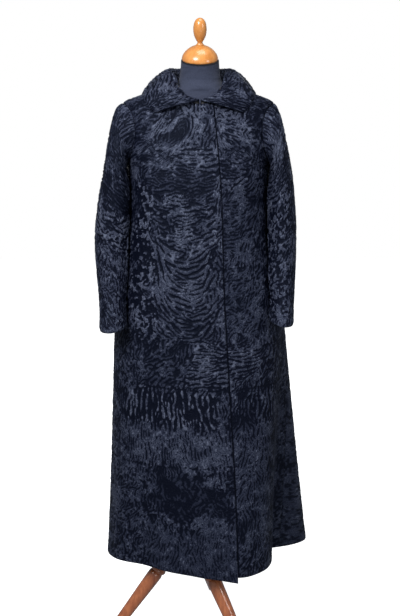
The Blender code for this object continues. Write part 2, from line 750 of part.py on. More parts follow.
def add_cutter(name, mesh, collection, parent):
    cutter = bpy.data.objects.new(name, mesh)
    collection.objects.link(cutter)
    cutter.parent = parent
    cutter.hide_render = True
    cutter.display_type = "WIRE"
    return cutter


def box_mesh(name, width, height):
    box = bmesh.new()
    bmesh.ops.create_cube(box, size=1, matrix=Matrix.Diagonal((width, width, height, 1)))
    mesh = bpy.data.meshes.new(name)
    box.to_mesh(mesh)
    box.free()
    return mesh


def socket_mesh():
    """The hole drilled in the hub for a leg's tenon."""
    drill = bmesh.new()
    start, end = TENON_START - SEAM, HUB_SEAT + 0.03
    radius = TENON_RADIUS + SEAM
    bmesh.ops.create_cone(
        drill,
        cap_ends=True,
        segments=LEG_STEPS,
        radius1=radius,
        radius2=radius,
        depth=end - start,
        matrix=Matrix.Translation((0, 0, -(start + end) / 2)),
    )
    mesh = bpy.data.meshes.new("socket")
    drill.to_mesh(mesh)
    drill.free()
    return mesh


def add_stand(collection, cutters, parent):
    stain = material("stained_wood", (0.105, 0.030, 0.014), 0.25, coat=0.6)
    floor = add_cutter("floor_cutter", box_mesh("floor_cutter", 1.2, 0.2), cutters, parent)
    floor.location = (0, 0, -0.1)
    hub = add_turned("hub", hub_profile(), TURNED_STEPS, stain, collection, parent)
    hub.location.x = STAND_X
    for number, turn in enumerate(LEG_TURNS, start=1):
        placed = (-SPLAY, 0, math.radians(turn))
        leg = add_turned(
            f"leg_{number}",
            leg_profile(TENON_RADIUS, TENON_START, FOOT_RUN),
            LEG_STEPS,
            stain,
            collection,
            parent,
        )
        socket = add_cutter(f"socket_{number}", socket_mesh(), cutters, parent)
        for piece in (leg, socket):
            piece.location = (STAND_X, 0, FORK_Z)
            piece.rotation_euler = placed
        add_cut(leg, floor)
        add_cut(hub, socket)
    pole_top, pole_foot = TORSO[0].z - SEAM, HUB_TOP + SEAM
    pole = [
        Turned(0.0, pole_top),
        Turned(POLE_RADIUS, pole_top),
        Turned(POLE_RADIUS, pole_foot),
        Turned(0.0, pole_foot),
    ]
    pole = add_turned("pole", pole, TURNED_STEPS, stain, collection, parent)
    pole.location.x = STAND_X


def add_form(collection, parent):
    jersey = material("form_jersey", (0.045, 0.055, 0.085), 0.85)
    honey = material("honey_wood", (0.62, 0.27, 0.075), 0.35, coat=0.4)
    add_object("form", form_mesh(), jersey, collection, parent)
    neck_top = NECK[-1]
    tilt = math.atan(neck_top.slope)
    upright = Matrix.Rotation(tilt, 3, "X") @ Vector((0, 0, 1))
    base = Vector((0, neck_top.middle, neck_top.z)) + upright * SEAM
    cap = add_turned("neck_cap", CAP_PROFILE, TURNED_STEPS, honey, collection, parent)
    finial = add_turned("finial", FINIAL_PROFILE, TURNED_STEPS, honey, collection, parent)
    cap.location = base
    finial.location = base + upright * (CAP_PROFILE[0].height + SEAM)
    cap.rotation_euler = finial.rotation_euler = (tilt, 0, 0)


def add_coat(collection, parent):
    fur = material("black_fur", (0.008, 0.010, 0.015), 0.45)
    for mesh in (
        front_right_mesh(),
        front_left_mesh(),
        back_mesh(),
        sleeve_mesh("sleeve_right", RIGHT_SLEEVE, False),
        sleeve_mesh("sleeve_left", LEFT_SLEEVE, True),
        collar_mesh(),
    ):
        add_object(mesh.name, mesh, fur, collection, parent)


def main():
    for old in list(bpy.data.objects):
        bpy.data.objects.remove(old)
    collection = bpy.data.collections.new("fur_coat_on_dress_form")
    cutters = bpy.data.collections.new("cutters")
    for group in (collection, cutters):
        bpy.context.scene.collection.children.link(group)
    axis = bpy.data.objects.new("form_axis", None)
    axis.location = AXIS
    collection.objects.link(axis)
    add_coat(collection, axis)
    add_form(collection, axis)
    add_stand(collection, cutters, axis)


main()
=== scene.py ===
"""Looks of the full-length broadtail fur coat on its limbless dress form.

Metres, +Z up, the coat's front towards -Y, the wearer's left at +X. The coat's cloth takes the
solids' own shell at a finer grain, and the pelts' curl is raised on it: each pelt is a row of
a table that says which way its curls run, how far apart and how high they are.
"""

import math
from collections import namedtuple

import bmesh
import bpy
import numpy as np
from mathutils import Matrix, Vector


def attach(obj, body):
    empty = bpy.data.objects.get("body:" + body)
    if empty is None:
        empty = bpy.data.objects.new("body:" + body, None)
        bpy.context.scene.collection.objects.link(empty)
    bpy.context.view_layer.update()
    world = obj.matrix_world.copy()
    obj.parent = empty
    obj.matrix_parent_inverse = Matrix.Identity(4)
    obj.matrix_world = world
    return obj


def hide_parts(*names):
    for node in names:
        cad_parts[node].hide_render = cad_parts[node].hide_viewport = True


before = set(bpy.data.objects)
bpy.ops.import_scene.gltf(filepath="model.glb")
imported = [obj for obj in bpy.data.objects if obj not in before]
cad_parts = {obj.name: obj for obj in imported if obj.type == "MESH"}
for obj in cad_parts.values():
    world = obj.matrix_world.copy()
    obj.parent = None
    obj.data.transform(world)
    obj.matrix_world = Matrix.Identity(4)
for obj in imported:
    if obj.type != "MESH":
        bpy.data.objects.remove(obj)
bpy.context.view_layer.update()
SEED = 41


def table(kind, *rows):
    """Rows of plain values as rows of a named kind."""
    return tuple(kind(*row) for row in rows)


# ---------------------------------------------------------------- the coat's own sizes
AXIS = (-0.0167, -0.0261, 0.0)  # the form's axis, from the middle of the footprint
WALL = 0.004  # pelt, curl and lining together
SEAM = 0.0003  # gap between pieces at a seam
ARMPIT_Z = 1.340
SHOULDER_TIP_Z = 1.503
NECK_POINT_Z = 1.556  # where the shoulder seam meets the neckline
NECK_POINT_X = 0.072
FRONT_NECK_Z = 1.500
BACK_NECK_Z = 1.560
OVERLAP = 0.065  # how far the right front laps over the left
OVERLAP_LIFT = WALL + 0.002  # how far the upper front stands off the shell there
OVERLAP_RAMP = 14.0  # degrees over which it rises
ARMHOLE_FRONT = 0.066  # reach of the armhole's oval before and behind the shoulder
ARMHOLE_BACK = 0.070
ARMHOLE_PACE = 1.5  # how much its steps close up towards the shoulder tip
ARMHOLE_ROUNDING = (1.3, 0.8)  # of its lower and its upper half
ARMHOLE_SQUARE = 0.8  # how much of the section's squareness it meets
NECK_ROUNDING = 1.5

LOWER_ROWS = 16  # rows of each panel's wall from hem to armpit
UPPER_ROWS = 12  # and from armpit to shoulder
SHOULDER_COLUMNS = 6  # columns that end at the shoulder seam; the others at the neckline
NECK_STEP = 11.25  # degrees round the neckline between columns, and collar stations
NECK_SKIP = 0.3  # the first column lies more than this share of a step past the edge
SEAM_LEVELS = 80  # heights at which the shoulder seam is looked up
ROW_PACE = 1.7  # how much the upper rows close up towards the shoulder
ARMHOLE_PULL = 6  # how fast the armhole's pull fades away from it at the shoulder
SLEEVE_SIDES = 2 * UPPER_ROWS  # so that its corners meet the panels' at the armhole

# The plain sections: half widths to the wearer's right and left, depths before and
# behind the axis, and how square the section is.
Section = namedtuple("Section", "z right left front back square")
SECTIONS = table(
    Section,
    (0.200, 0.258, 0.262, 0.172, 0.188, 0.06),
    (0.350, 0.252, 0.255, 0.167, 0.183, 0.06),
    (0.510, 0.246, 0.248, 0.161, 0.177, 0.06),
    (0.690, 0.241, 0.240, 0.155, 0.170, 0.06),
    (0.880, 0.235, 0.229, 0.150, 0.160, 0.08),
    (1.050, 0.210, 0.203, 0.145, 0.149, 0.10),
    (1.170, 0.195, 0.184, 0.141, 0.142, 0.12),
    (1.280, 0.190, 0.181, 0.138, 0.135, 0.14),
    (1.340, 0.191, 0.183, 0.132, 0.131, 0.15),
    (1.420, 0.196, 0.188, 0.116, 0.126, 0.16),
    (1.470, 0.200, 0.192, 0.100, 0.117, 0.16),
    (1.503, 0.202, 0.194, 0.088, 0.107, 0.14),
    (1.530, 0.142, 0.138, 0.080, 0.096, 0.08),
    (1.556, 0.072, 0.072, 0.071, 0.086, 0.04),
    (1.570, 0.050, 0.050, 0.064, 0.082, 0.02),
)

# Flutes and hollows of the hanging cloth: each is a soft ridge, or a trough where its
# height is below 0, that grows from its top down to the hem.
FOLD_GROWTH = 1.4
Fold = namedtuple("Fold", "top_turn hem_turn width height top_z")
FOLDS = table(
    Fold,
    (98, 107, 13, 0.083, 1.10),  # left back flute
    (76, 82, 17, -0.064, 1.00),  # left side hollow
    (62, 60, 13, -0.020, 0.85),  # left front hollow
    (20, 27, 12, 0.014, 0.70),  # front edge kick
    (-36, -42, 20, -0.024, 0.95),  # right front hollow
    (-97, -92, 14, 0.012, 1.12),  # right side flute
    (-118, -120, 13, -0.018, 0.95),  # right back hollow
    (-140, -142, 14, 0.016, 1.05),  # right back flute
    (-172, -172, 15, -0.016, 1.00),  # centre back hollow
    (160, 158, 14, 0.014, 1.05),  # back flute
    (134, 134, 13, -0.016, 0.95),  # left back hollow
)

Hem = namedtuple("Hem", "turn z")
HEMS = table(
    Hem,
    (-180, 0.238), (-90, 0.231), (-60, 0.240), (-35, 0.2440), (-17, 0.2435),
    (4, 0.2375), (30, 0.231), (58, 0.231), (82, 0.249), (100, 0.236), (180, 0.238),
)
CORNER_DROP = 0.014  # the upper front's corner hangs this much lower
CORNER_REACH = 22.0  # degrees over which the drop fades

# The upper front's edge: how far to the wearer's left of the centre it runs.
Edge = namedtuple("Edge", "z x")
FRONT_EDGE = table(
    Edge,
    (0.20, 0.102), (0.51, 0.091), (0.69, 0.081), (0.88, 0.069), (1.05, 0.060),
    (1.24, 0.055), (1.50, 0.034),
)

# A sleeve's rings, from the armhole to the cuff: how far out and how high its outer line
# and its underarm line are, and its reach before and behind the axis.
Ring = namedtuple("Ring", "out_x out_z in_x in_z front back")
# These rows are front, back, then the four others of the left and of the right sleeve.
SLEEVES = (
    (-0.066, 0.070, 0.1940, 1.5030, 0.1830, 1.3400, 0.2020, 1.5030, 0.1910, 1.3400),
    (-0.068, 0.072, 0.1990, 1.4995, 0.1852, 1.3400, 0.2085, 1.5015, 0.1932, 1.3400),
    (-0.070, 0.074, 0.2035, 1.4930, 0.1868, 1.3340, 0.2155, 1.4970, 0.1948, 1.3340),
    (-0.074, 0.075, 0.2080, 1.4820, 0.1850, 1.3235, 0.2230, 1.4870, 0.1930, 1.3235),
    (-0.080, 0.074, 0.2150, 1.4630, 0.1820, 1.3090, 0.2310, 1.4630, 0.1900, 1.3090),
    (-0.087, 0.070, 0.2235, 1.4270, 0.1790, 1.2920, 0.2390, 1.4290, 0.1830, 1.2920),
    (-0.092, 0.065, 0.2325, 1.3850, 0.1740, 1.2660, 0.2465, 1.3880, 0.1805, 1.2660),
    (-0.095, 0.061, 0.2418, 1.3380, 0.1735, 1.2350, 0.2545, 1.3430, 0.1800, 1.2350),
    (-0.097, 0.057, 0.2490, 1.2900, 0.1775, 1.2000, 0.2635, 1.2900, 0.1810, 1.2000),
    (-0.098, 0.053, 0.2542, 1.2350, 0.1765, 1.1600, 0.2730, 1.2350, 0.1835, 1.1600),
    (-0.101, 0.047, 0.2575, 1.1800, 0.1760, 1.1200, 0.2795, 1.1800, 0.1840, 1.1200),
    (-0.106, 0.038, 0.2575, 1.1250, 0.1760, 1.0800, 0.2815, 1.1250, 0.1850, 1.0800),
    (-0.114, 0.026, 0.2560, 1.0700, 0.1770, 1.0400, 0.2780, 1.0700, 0.1870, 1.0400),
    (-0.127, 0.008, 0.2530, 1.0180, 0.1835, 1.0020, 0.2725, 1.0180, 0.1940, 1.0020),
    (-0.145, -0.016, 0.2500, 0.9710, 0.1840, 0.9700, 0.2680, 0.9640, 0.1950, 0.9600),
    (-0.164, -0.040, 0.2480, 0.9290, 0.1840, 0.9380, 0.2670, 0.9130, 0.1950, 0.9210),
)
LEFT_SLEEVE = [Ring(*row[2:6], *row[:2]) for row in SLEEVES]
RIGHT_SLEEVE = [Ring(*row[6:], *row[:2]) for row in SLEEVES]
SEAM_FADE = (1.0, 0.75, 0.45, 0.2, 0.06)  # the armhole's own shape, ring by ring
ATTACHED_RINGS = 3  # these lie at the armhole seam, the rest hang clear of the body
SLEEVE_CLEAR = 0.003  # between the body and a hanging sleeve
SLEEVE_SPAN = (0.85, 1.45)  # heights between which a sleeve hangs beside the body

# The collar, from its front end to the centre back: where its fold (roll) runs, and
# where its outer edge lies on the shell.
Station = namedtuple("Station", "turn roll_x roll_y roll_z edge_turn edge_z")
COLLAR = table(
    Station,
    (1.5, 0.0020, -0.0945, 1.511, 33, 1.478),
    (28, 0.035, -0.085, 1.522, 39, 1.488),
    (50, 0.056, -0.059, 1.543, 43, 1.505),
    (70, 0.071, -0.032, 1.567, 58, 1.521),
    (90, 0.079, 0.004, 1.585, 87, 1.5345),
    (115, 0.0775, 0.042, 1.592, 118, 1.518),
    (145, 0.055, 0.082, 1.593, 150, 1.488),
    (180, 0.000, 0.102, 1.594, 180, 1.474),
    (215, -0.055, 0.082, 1.593, 210, 1.488),
)
COLLAR_WALL = 0.004
STAND_STEPS = 4
FALL_STEPS = 6
COLLAR_CLEAR = 0.0025  # between the fall and the coat under it
COLLAR_SEAM = 0.0006  # between the stand and the neckline
COLLAR_SPAN = (1.44, 1.57)  # heights between which it lies over the coat
COLLAR_LAP = 0.06  # this far from the centre front it lies over the lapped fronts
ROLL_CENTRE_Y = 0.004
# How far its curve runs on straight, as shares of the stand's or of the fall's length: up
# from the neckline, into and out of the roll, out of and back from the outer edge.
STAND_RISE, ROLL_IN, ROLL_OUT, EDGE_OUT, EDGE_BACK = 0.42, 0.30, 0.22, 0.16, 0.30


# ---------------------------------------------------------------- curves and the shell
def hermite(start, end, leave, arrive, step, t):
    """A cubic between two values a step apart, with the slopes that it has at them."""
    return (
        start * (1 + 2 * t) * (1 - t) ** 2
        + end * t**2 * (3 - 2 * t)
        + step * (leave * t * (1 - t) ** 2 - arrive * t**2 * (1 - t))
    )


def smooth(rows, key, field, at):
    """A table's column as a monotone cubic of its key, held level past the ends."""
    keys = np.array([getattr(row, key) for row in rows], float)
    values = np.array([getattr(row, field) for row in rows], float)
    at = np.clip(np.asarray(at, float), keys[0], keys[-1])
    steps = np.diff(keys)
    rises = np.diff(values) / steps
    before, after = rises[:-1], rises[1:]
    agree = before * after > 0
    inner = np.where(agree, 2 * before * after / np.where(agree, before + after, 1), 0)
    tangents = np.concatenate((rises[:1], inner, rises[-1:]))
    i = np.clip(np.searchsorted(keys, at, side="right") - 1, 0, len(steps) - 1)
    t = (at - keys[i]) / steps[i]
    return hermite(values[i], values[i + 1], tangents[i], tangents[i + 1], steps[i], t)


def ease(t):
    """0 to 1 with level ends."""
    t = np.clip(t, 0, 1)
    return t * t * (3 - 2 * t)


def unit(vectors):
    return vectors / np.linalg.norm(vectors, axis=-1, keepdims=True)


def section(field, z):
    return smooth(SECTIONS, "z", field, z)


def half_width(z, left):
    """The shell's reach to one side; left may be an array of True and False."""
    return np.where(left, section("left", z), section("right", z))


def depth(z, front):
    """The shell's reach before or behind the axis."""
    return np.where(front, section("front", z), section("back", z))


def fold_height(turn, z):
    """How far the folds push the shell out at a place."""
    height = np.zeros(turn.shape)
    for fold in FOLDS:
        down = np.clip((fold.top_z - z) / (fold.top_z - SECTIONS[0].z), 0, 1)
        middle = fold.top_turn + (fold.hem_turn - fold.top_turn) * down
        away = (turn - middle + 180) % 360 - 180
        height += fold.height * down**FOLD_GROWTH * np.exp(-((away / fold.width) ** 2))
    return height


def shell(turn, z):
    """Points of the coat's outer surface."""
    turn, z = np.broadcast_arrays(np.asarray(turn, float), np.asarray(z, float))
    sine, cosine = np.sin(np.radians(turn)), np.cos(np.radians(turn))
    side, reach = half_width(z, sine > 0), depth(z, cosine > 0)
    square = section("square", z)
    out_x, out_y = sine / side, -cosine / reach
    push = fold_height(turn, z) / np.hypot(out_x, out_y)
    x = side * sine + push * out_x
    y = -reach * cosine * (1 + square * sine**2) + push * out_y
    return np.stack((x, y, z), axis=-1)


def shell_normal(turn, z):
    """Unit vectors that point out of the shell."""
    turn_step, z_step = 0.4, 0.0015
    along = shell(turn + turn_step, z) - shell(turn - turn_step, z)
    up = shell(turn, z + z_step) - shell(turn, z - z_step)
    return unit(np.cross(along, up))


def stood_off(points, least, span):
    """The points, moved out where they lie nearer to the shell than least."""
    turn_grain, z_grain = 2.0, 0.006
    turn, z = np.meshgrid(np.arange(-180.0, 180.0, turn_grain), np.arange(*span, z_grain))
    faces = shell(turn, z).reshape(-1, 3)
    normals = shell_normal(turn, z).reshape(-1, 3)
    moved = points.reshape(-1, 3).copy()
    gaps = np.broadcast_to(least, points.shape[:-1]).reshape(-1)
    for index, point in enumerate(moved):
        nearest = np.argmin(((faces - point) ** 2).sum(axis=1))
        height = (point - faces[nearest]) @ normals[nearest]
        moved[index] += normals[nearest] * max(0.0, gaps[index] - height)
    return moved.reshape(points.shape)


# ---------------------------------------------------------------- the panels' outlines
# "Toward" is the angle from the centre line to the side seam: 0 at the centre front or
# centre back, 90 at the side, below 0 past the centre on the other side of the body.
def turn_of(toward, left, front):
    turn = toward if front else 180 - toward
    return turn if left else -turn


def armhole(share, front):
    """Toward and z along half an armhole, from the armpit (0) to the shoulder tip (1)."""
    share = 1 - (1 - share) ** ARMHOLE_PACE
    z = ARMPIT_Z + (SHOULDER_TIP_Z - ARMPIT_Z) * (1 - np.cos(np.pi * share)) / 2
    rounding = np.where(share < 0.5, *ARMHOLE_ROUNDING)
    reach = (ARMHOLE_FRONT if front else ARMHOLE_BACK) * np.sin(np.pi * share) ** rounding
    whole = depth(z, front) * (1 + ARMHOLE_SQUARE * section("square", z))
    return np.degrees(np.arccos(np.clip(reach / whole, 0, 1))), z


def neckline(round_turn):
    """x and z of the neckline, whose turn is 0 at the centre front and 180 at the back."""
    sine, cosine = np.sin(np.radians(round_turn)), np.cos(np.radians(round_turn))
    low = np.where(cosine > 0, FRONT_NECK_Z, BACK_NECK_Z)
    return NECK_POINT_X * sine, NECK_POINT_Z + (low - NECK_POINT_Z) * abs(cosine) ** NECK_ROUNDING


def toward_of(x, z, left):
    """The angle from the centre line where the shell has this x at this height."""
    return np.degrees(np.arcsin(np.clip(x / half_width(z, left == (x > 0)), -1, 1)))


def spread(x, z, left):
    """An angle that stands for x, on sections that the shoulders don't narrow."""
    return toward_of(x, np.minimum(z, SHOULDER_TIP_Z), left)


def x_of_spread(angle, z, left):
    wide = half_width(np.minimum(z, SHOULDER_TIP_Z), left == (angle > 0))
    return np.sin(np.radians(angle)) * wide


def neck_steps(first, last):
    """The neckline's even steps from first to last, both of them in."""
    return np.arange(first, last + 0.1, NECK_STEP)


def top_line(inner_x, left, front):
    """Spread and z of a panel's upper edge: the neckline, then the shoulder seam."""
    start = math.degrees(math.asin(inner_x / NECK_POINT_X))
    rounds = neck_steps(math.floor(start / NECK_STEP + 1 + NECK_SKIP) * NECK_STEP, 90)
    neck_x, neck_z = neckline(turn_of(np.concatenate(((start,), rounds)), True, front))
    tip = float(half_width(SHOULDER_TIP_Z, left))
    seam_x = np.linspace(NECK_POINT_X, tip, SHOULDER_COLUMNS + 1)[1:]
    levels = np.linspace(NECK_POINT_Z, SHOULDER_TIP_Z, SEAM_LEVELS)
    seam_z = np.interp(seam_x, half_width(levels, left), levels)
    x, z = np.concatenate((neck_x, seam_x)), np.concatenate((neck_z, seam_z))
    return spread(x, z, left), z


def half_panel(left, front, inner, inner_top_x, drop):
    """Turn and z grids of a front, or of half the back.

    Rows run from hem to shoulder, columns from the inner edge to the side. inner gives
    the inner edge's toward angle at a height, drop how far its corner hangs lower.
    """
    top, top_z = top_line(inner_top_x, left, front)
    across = np.linspace(0, 1, len(top))
    spaced = (across + (top - top[0]) / (top[-1] - top[0])) / 2
    towards, heights = [], []
    for share in np.arange(LOWER_ROWS) / LOWER_ROWS:
        edge = inner(HEMS[0].z + (ARMPIT_Z - HEMS[0].z) * share)
        toward = edge + (90 - edge) * spaced
        low = smooth(HEMS, "turn", "z", turn_of(toward, left, front))
        low = low - drop * np.exp((edge - toward) / CORNER_REACH)
        towards.append(toward)
        heights.append(low + (ARMPIT_Z - low) * share)
    # Above the armpit the rows bend from level to the line of neck and shoulder, and
    # close up towards it, where the shoulder rounds over.
    edge = inner(ARMPIT_Z)
    base = edge + (90 - edge) * spaced
    for share in np.linspace(0, 1, UPPER_ROWS + 1):
        up = 1 - (1 - share) ** ROW_PACE
        rise = up * (top_z - ARMPIT_Z)
        inner_z = ARMPIT_Z + rise[0]
        inner_toward = float(inner(inner_z))
        inner_x = math.sin(math.radians(inner_toward)) * float(
            half_width(inner_z, left == (inner_toward > 0))
        )
        arm, arm_z = armhole(share, front)
        plain = (1 - up) * base + up * top
        bend = spread(inner_x, inner_z, left) - plain[0]
        pull = across ** (1 + ARMHOLE_PULL * share**3)  # the armhole's pull spares the neckline
        angle = plain + (1 - across) * bend + pull * (arm - plain[-1])
        z = ARMPIT_Z + rise + pull * (arm_z - ARMPIT_Z - rise[-1])
        towards.append(toward_of(x_of_spread(angle, z, left), z, left))
        heights.append(z)
    return turn_of(np.array(towards), left, front), np.array(heights)


def upper_edge(z):
    """Turn of the upper front's edge."""
    return toward_of(smooth(FRONT_EDGE, "z", "x", z), z, True)


def under_edge(z):
    """Turn of the under front's edge, which the upper front hides."""
    return toward_of(smooth(FRONT_EDGE, "z", "x", z) - OVERLAP, z, True)


def overlap_lift(turn, z):
    """How far the upper front stands off the shell, to lie over the under front."""
    return OVERLAP_LIFT * ease((turn - under_edge(z) + 1) / OVERLAP_RAMP + 1)


# ---------------------------------------------------------------- sleeves
def sleeve_grid(rings, left):
    """Outer points of a sleeve: rings from armhole to cuff, each from the underarm
    forwards, over the outer line and back."""
    around = np.linspace(0, 1, SLEEVE_SIDES + 1)
    up_front = around <= 0.5
    share = np.where(up_front, around * 2, 2 - around * 2)
    front, front_z = armhole(share, True)
    back, back_z = armhole(share, False)
    turn = np.where(up_front, turn_of(front, left, True), turn_of(back, left, False))
    seam = shell(turn, np.where(up_front, front_z, back_z))
    sign = 1 if left else -1
    circle = 2 * np.pi * around
    grid = []
    for ring in rings:
        outer = np.array((sign * ring.out_x, 0.0, ring.out_z))
        inner = np.array((sign * ring.in_x, 0.0, ring.in_z))
        middle = (outer + inner) / 2 + (0, (ring.front + ring.back) / 2, 0)
        across = (outer - inner) / 2
        ahead = np.array((0, (ring.front - ring.back) / 2, 0))
        grid.append(middle - np.outer(np.cos(circle), across) + np.outer(np.sin(circle), ahead))
    grid = np.array(grid)
    own_shape = seam - grid[0]
    for index, keep in enumerate(SEAM_FADE):
        grid[index] += keep * own_shape
    grid[ATTACHED_RINGS:] = stood_off(grid[ATTACHED_RINGS:], SLEEVE_CLEAR, SLEEVE_SPAN)
    grid[..., 0] += sign * SEAM
    return grid


def tube_normals(grid):
    """Unit normals of a grid whose columns run round and meet."""
    closed = np.concatenate((grid[:, -2:-1], grid, grid[:, 1:2]), axis=1)
    around = closed[:, 2:] - closed[:, :-2]
    down = np.gradient(grid, axis=0)
    return unit(np.cross(around, down))


# ---------------------------------------------------------------- collar
def bezier(start, leave, arrive, end, steps):
    share = np.linspace(0, 1, steps + 1)[:, None]
    return (
        start * (1 - share) ** 3
        + 3 * leave * share * (1 - share) ** 2
        + 3 * arrive * share**2 * (1 - share)
        + end * share**3
    )


def collar_path(round_turn):
    """The middle of the collar's wall at one station, up the stand and down the fall, and
    the way that the neckline's own wall faces there."""
    folded = min(round_turn, 360 - round_turn)
    sign = 1 if round_turn <= 180 else -1
    value = {name: float(smooth(COLLAR, "turn", name, folded)) for name in Station._fields[1:]}

    def seam_point(at):
        x, z = neckline(at)
        turn = turn_of(float(toward_of(abs(x), z, x > 0)), x > 0, math.cos(math.radians(at)) > 0)
        return shell(turn, z), shell_normal(turn, z)

    seam, out = seam_point(round_turn)
    along = seam_point(round_turn + 1)[0] - seam_point(round_turn - 1)[0]
    rise = unit(np.cross(out, along))
    base = seam - out * WALL / 2 + rise * COLLAR_SEAM
    roll = np.array((sign * value["roll_x"], value["roll_y"], value["roll_z"]))
    across = unit(np.array((roll[0], roll[1] - ROLL_CENTRE_Y, 0.0)))
    edge_place = sign * value["edge_turn"], value["edge_z"]
    edge, edge_out = shell(*edge_place), shell_normal(*edge_place)
    stand = np.linalg.norm(roll - base)
    fall = np.linalg.norm(edge - roll)
    edge = edge + edge_out * (COLLAR_CLEAR + COLLAR_WALL / 2)
    leave, arrive = base + rise * stand * STAND_RISE, roll - across * stand * ROLL_IN
    up = bezier(base, leave, arrive, roll, STAND_STEPS)
    leave = roll + across * fall * ROLL_OUT
    arrive = edge + edge_out * fall * EDGE_OUT + (roll - edge) * EDGE_BACK
    down = bezier(roll, leave, arrive, edge, FALL_STEPS)
    return up, down, out


# ---------------------------------------------------------------- the cloth at a finer grain
FINE_LOWER = 27  # fine rows to each of the solids' rows, below the armpit and above it
FINE_UPPER = 7
FINE_SLEEVE = (13, 9)  # fine steps down and round a sleeve
FINE_COLLAR = (8, 7)  # round the neck and across the collar
INSIDE_ROWS = 9  # the plain inside has one row to this many outside, and one column
INSIDE_COLUMNS = 3
FREE_EDGE = (0.45, 0.12)  # of the wall's thickness: how far a cut edge rounds in
SEAM_EDGE = (0.06,)


def fine_steps(keys, counts):
    """Places along the keys, with a count of equal steps between each two of them."""
    spans = zip(keys, keys[1:], counts)
    runs = [np.linspace(low, high, count, endpoint=False) for low, high, count in spans]
    return np.concatenate(runs + [keys[-1:]])


def drawn_through(grid, keys, at):
    """A grid's rows as a smooth curve of their keys, read at other places."""
    shape = (-1,) + (1,) * (grid.ndim - 1)
    steps = np.diff(keys).reshape(shape)
    slopes = np.diff(grid, axis=0) / steps
    inner = (steps[1:] * slopes[:-1] + steps[:-1] * slopes[1:]) / (steps[:-1] + steps[1:])
    tangents = np.concatenate((slopes[:1], inner, slopes[-1:]))
    i = np.clip(np.searchsorted(keys, at, side="right") - 1, 0, len(keys) - 2)
    t = ((at - keys[i]) / np.diff(keys)[i]).reshape(shape)
    return hermite(grid[i], grid[i + 1], tangents[i], tangents[i + 1], steps[i], t)


def refined(grid, row_keys, row_counts, fine_across):
    """A grid with its rows and columns drawn finer."""
    grid = drawn_through(grid, row_keys, fine_steps(row_keys, row_counts))
    columns = np.arange(grid.shape[1], dtype=float)
    across = fine_steps(columns, [fine_across] * (grid.shape[1] - 1))
    return np.swapaxes(drawn_through(np.swapaxes(grid, 0, 1), columns, across), 0, 1)


def refined_ring(grid, row_keys, row_counts, fine_across):
    """The same for a grid whose last column lies on its first."""
    wide = np.concatenate((grid[:, -3:-1], grid, grid[:, 1:3]), axis=1)
    fine = refined(wide, row_keys, row_counts, fine_across)
    return fine[:, 2 * fine_across : -2 * fine_across]


def run_lengths(points, axis):
    """How far each point lies along its row or column, from the first."""
    steps = np.linalg.norm(np.diff(points, axis=axis), axis=-1)
    start = np.zeros_like(np.take(steps, [0], axis=axis))
    return np.concatenate((start, np.cumsum(steps, axis=axis)), axis=axis)


# ---------------------------------------------------------------- the pelts' curl
CELL = 0.002  # the flat pattern is worked out on squares of this size
CURL_HEIGHT = 0.0026
CURL_SINK = 0.0012  # troughs lie this far inside the solids' face
BEARINGS = 12
WAVES = (0.0070, 0.0105, 0.0165)
ROUNDS = 3
BAND_TURN = 0.36  # radians either side of a bearing that its filter hears
BAND_WAVE = 0.32  # and its share of the wave number
PELT_SEAMS = ((0.756, -0.02, 0.0012), (0.542, 0.03, 0.0016))  # height, slope, waver
SEAM_HALF = 0.0022
SEAM_DEPTH = 1.6
PELT_FADE = 0.016  # over this width one pelt's look gives way to the next

# Noises, each as rows of its length and its height: on a pelt's outline, on its place, on
# the curls' bearing, and on the distance between them.
OUTLINE_NOISE = ((0.026, 0.009), (0.009, 0.004))
PLACE_NOISE = ((0.045, 0.007),)
BEARING_NOISE = ((0.010, 0.8), (0.030, 0.6))
WAVE_NOISE = ((0.016, 0.32),)
WAVE_SHARE = 1.08
BROKEN_LENGTH = 0.0055  # of the breaks in a curl
PATCH_LENGTH = 0.022  # of the patches of fuller curl and lighter hair
FIELD_MARGIN = 0.02
COVER = 0.60  # how far curls fill the pelt where none of it lies bare as groove
BARE_DEPTH = 3.0
CREST_AT, CREST_WIDTH = 0.75, 0.32  # where on a curl's side the painted highlight lies

# A stretch of pelt: its middle in flat metres (across from the centre line, and up), its
# size, which way the curls run (0 across, 90 up) and how much that turns towards its
# sides, the distance between curls, how far they stray, how high they stand, how light
# the hair is, and how much lies low between them as bare grooves, coloured with painted shade.
Pelt = namedtuple("Pelt", "a v wide tall angle bend wave stray relief tone bare")
RING = None  # stands for the angle where the curls run round the pelt's middle


def soft_noise(shape, length, rng):
    """Even random hills about as wide as the length, about 0 and 1 high."""
    rows, columns = (np.fft.fftfreq(count, CELL) for count in shape)
    reach = rows[:, None] ** 2 + columns[None, :] ** 2
    hills = np.fft.ifft2(
        np.fft.fft2(rng.standard_normal(shape)) * np.exp(-reach * (length * 2) ** 2)
    ).real
    return hills / hills.std()


def noise_sum(shape, rows, rng):
    return sum(soft_noise(shape, length, rng) * height for length, height in rows)


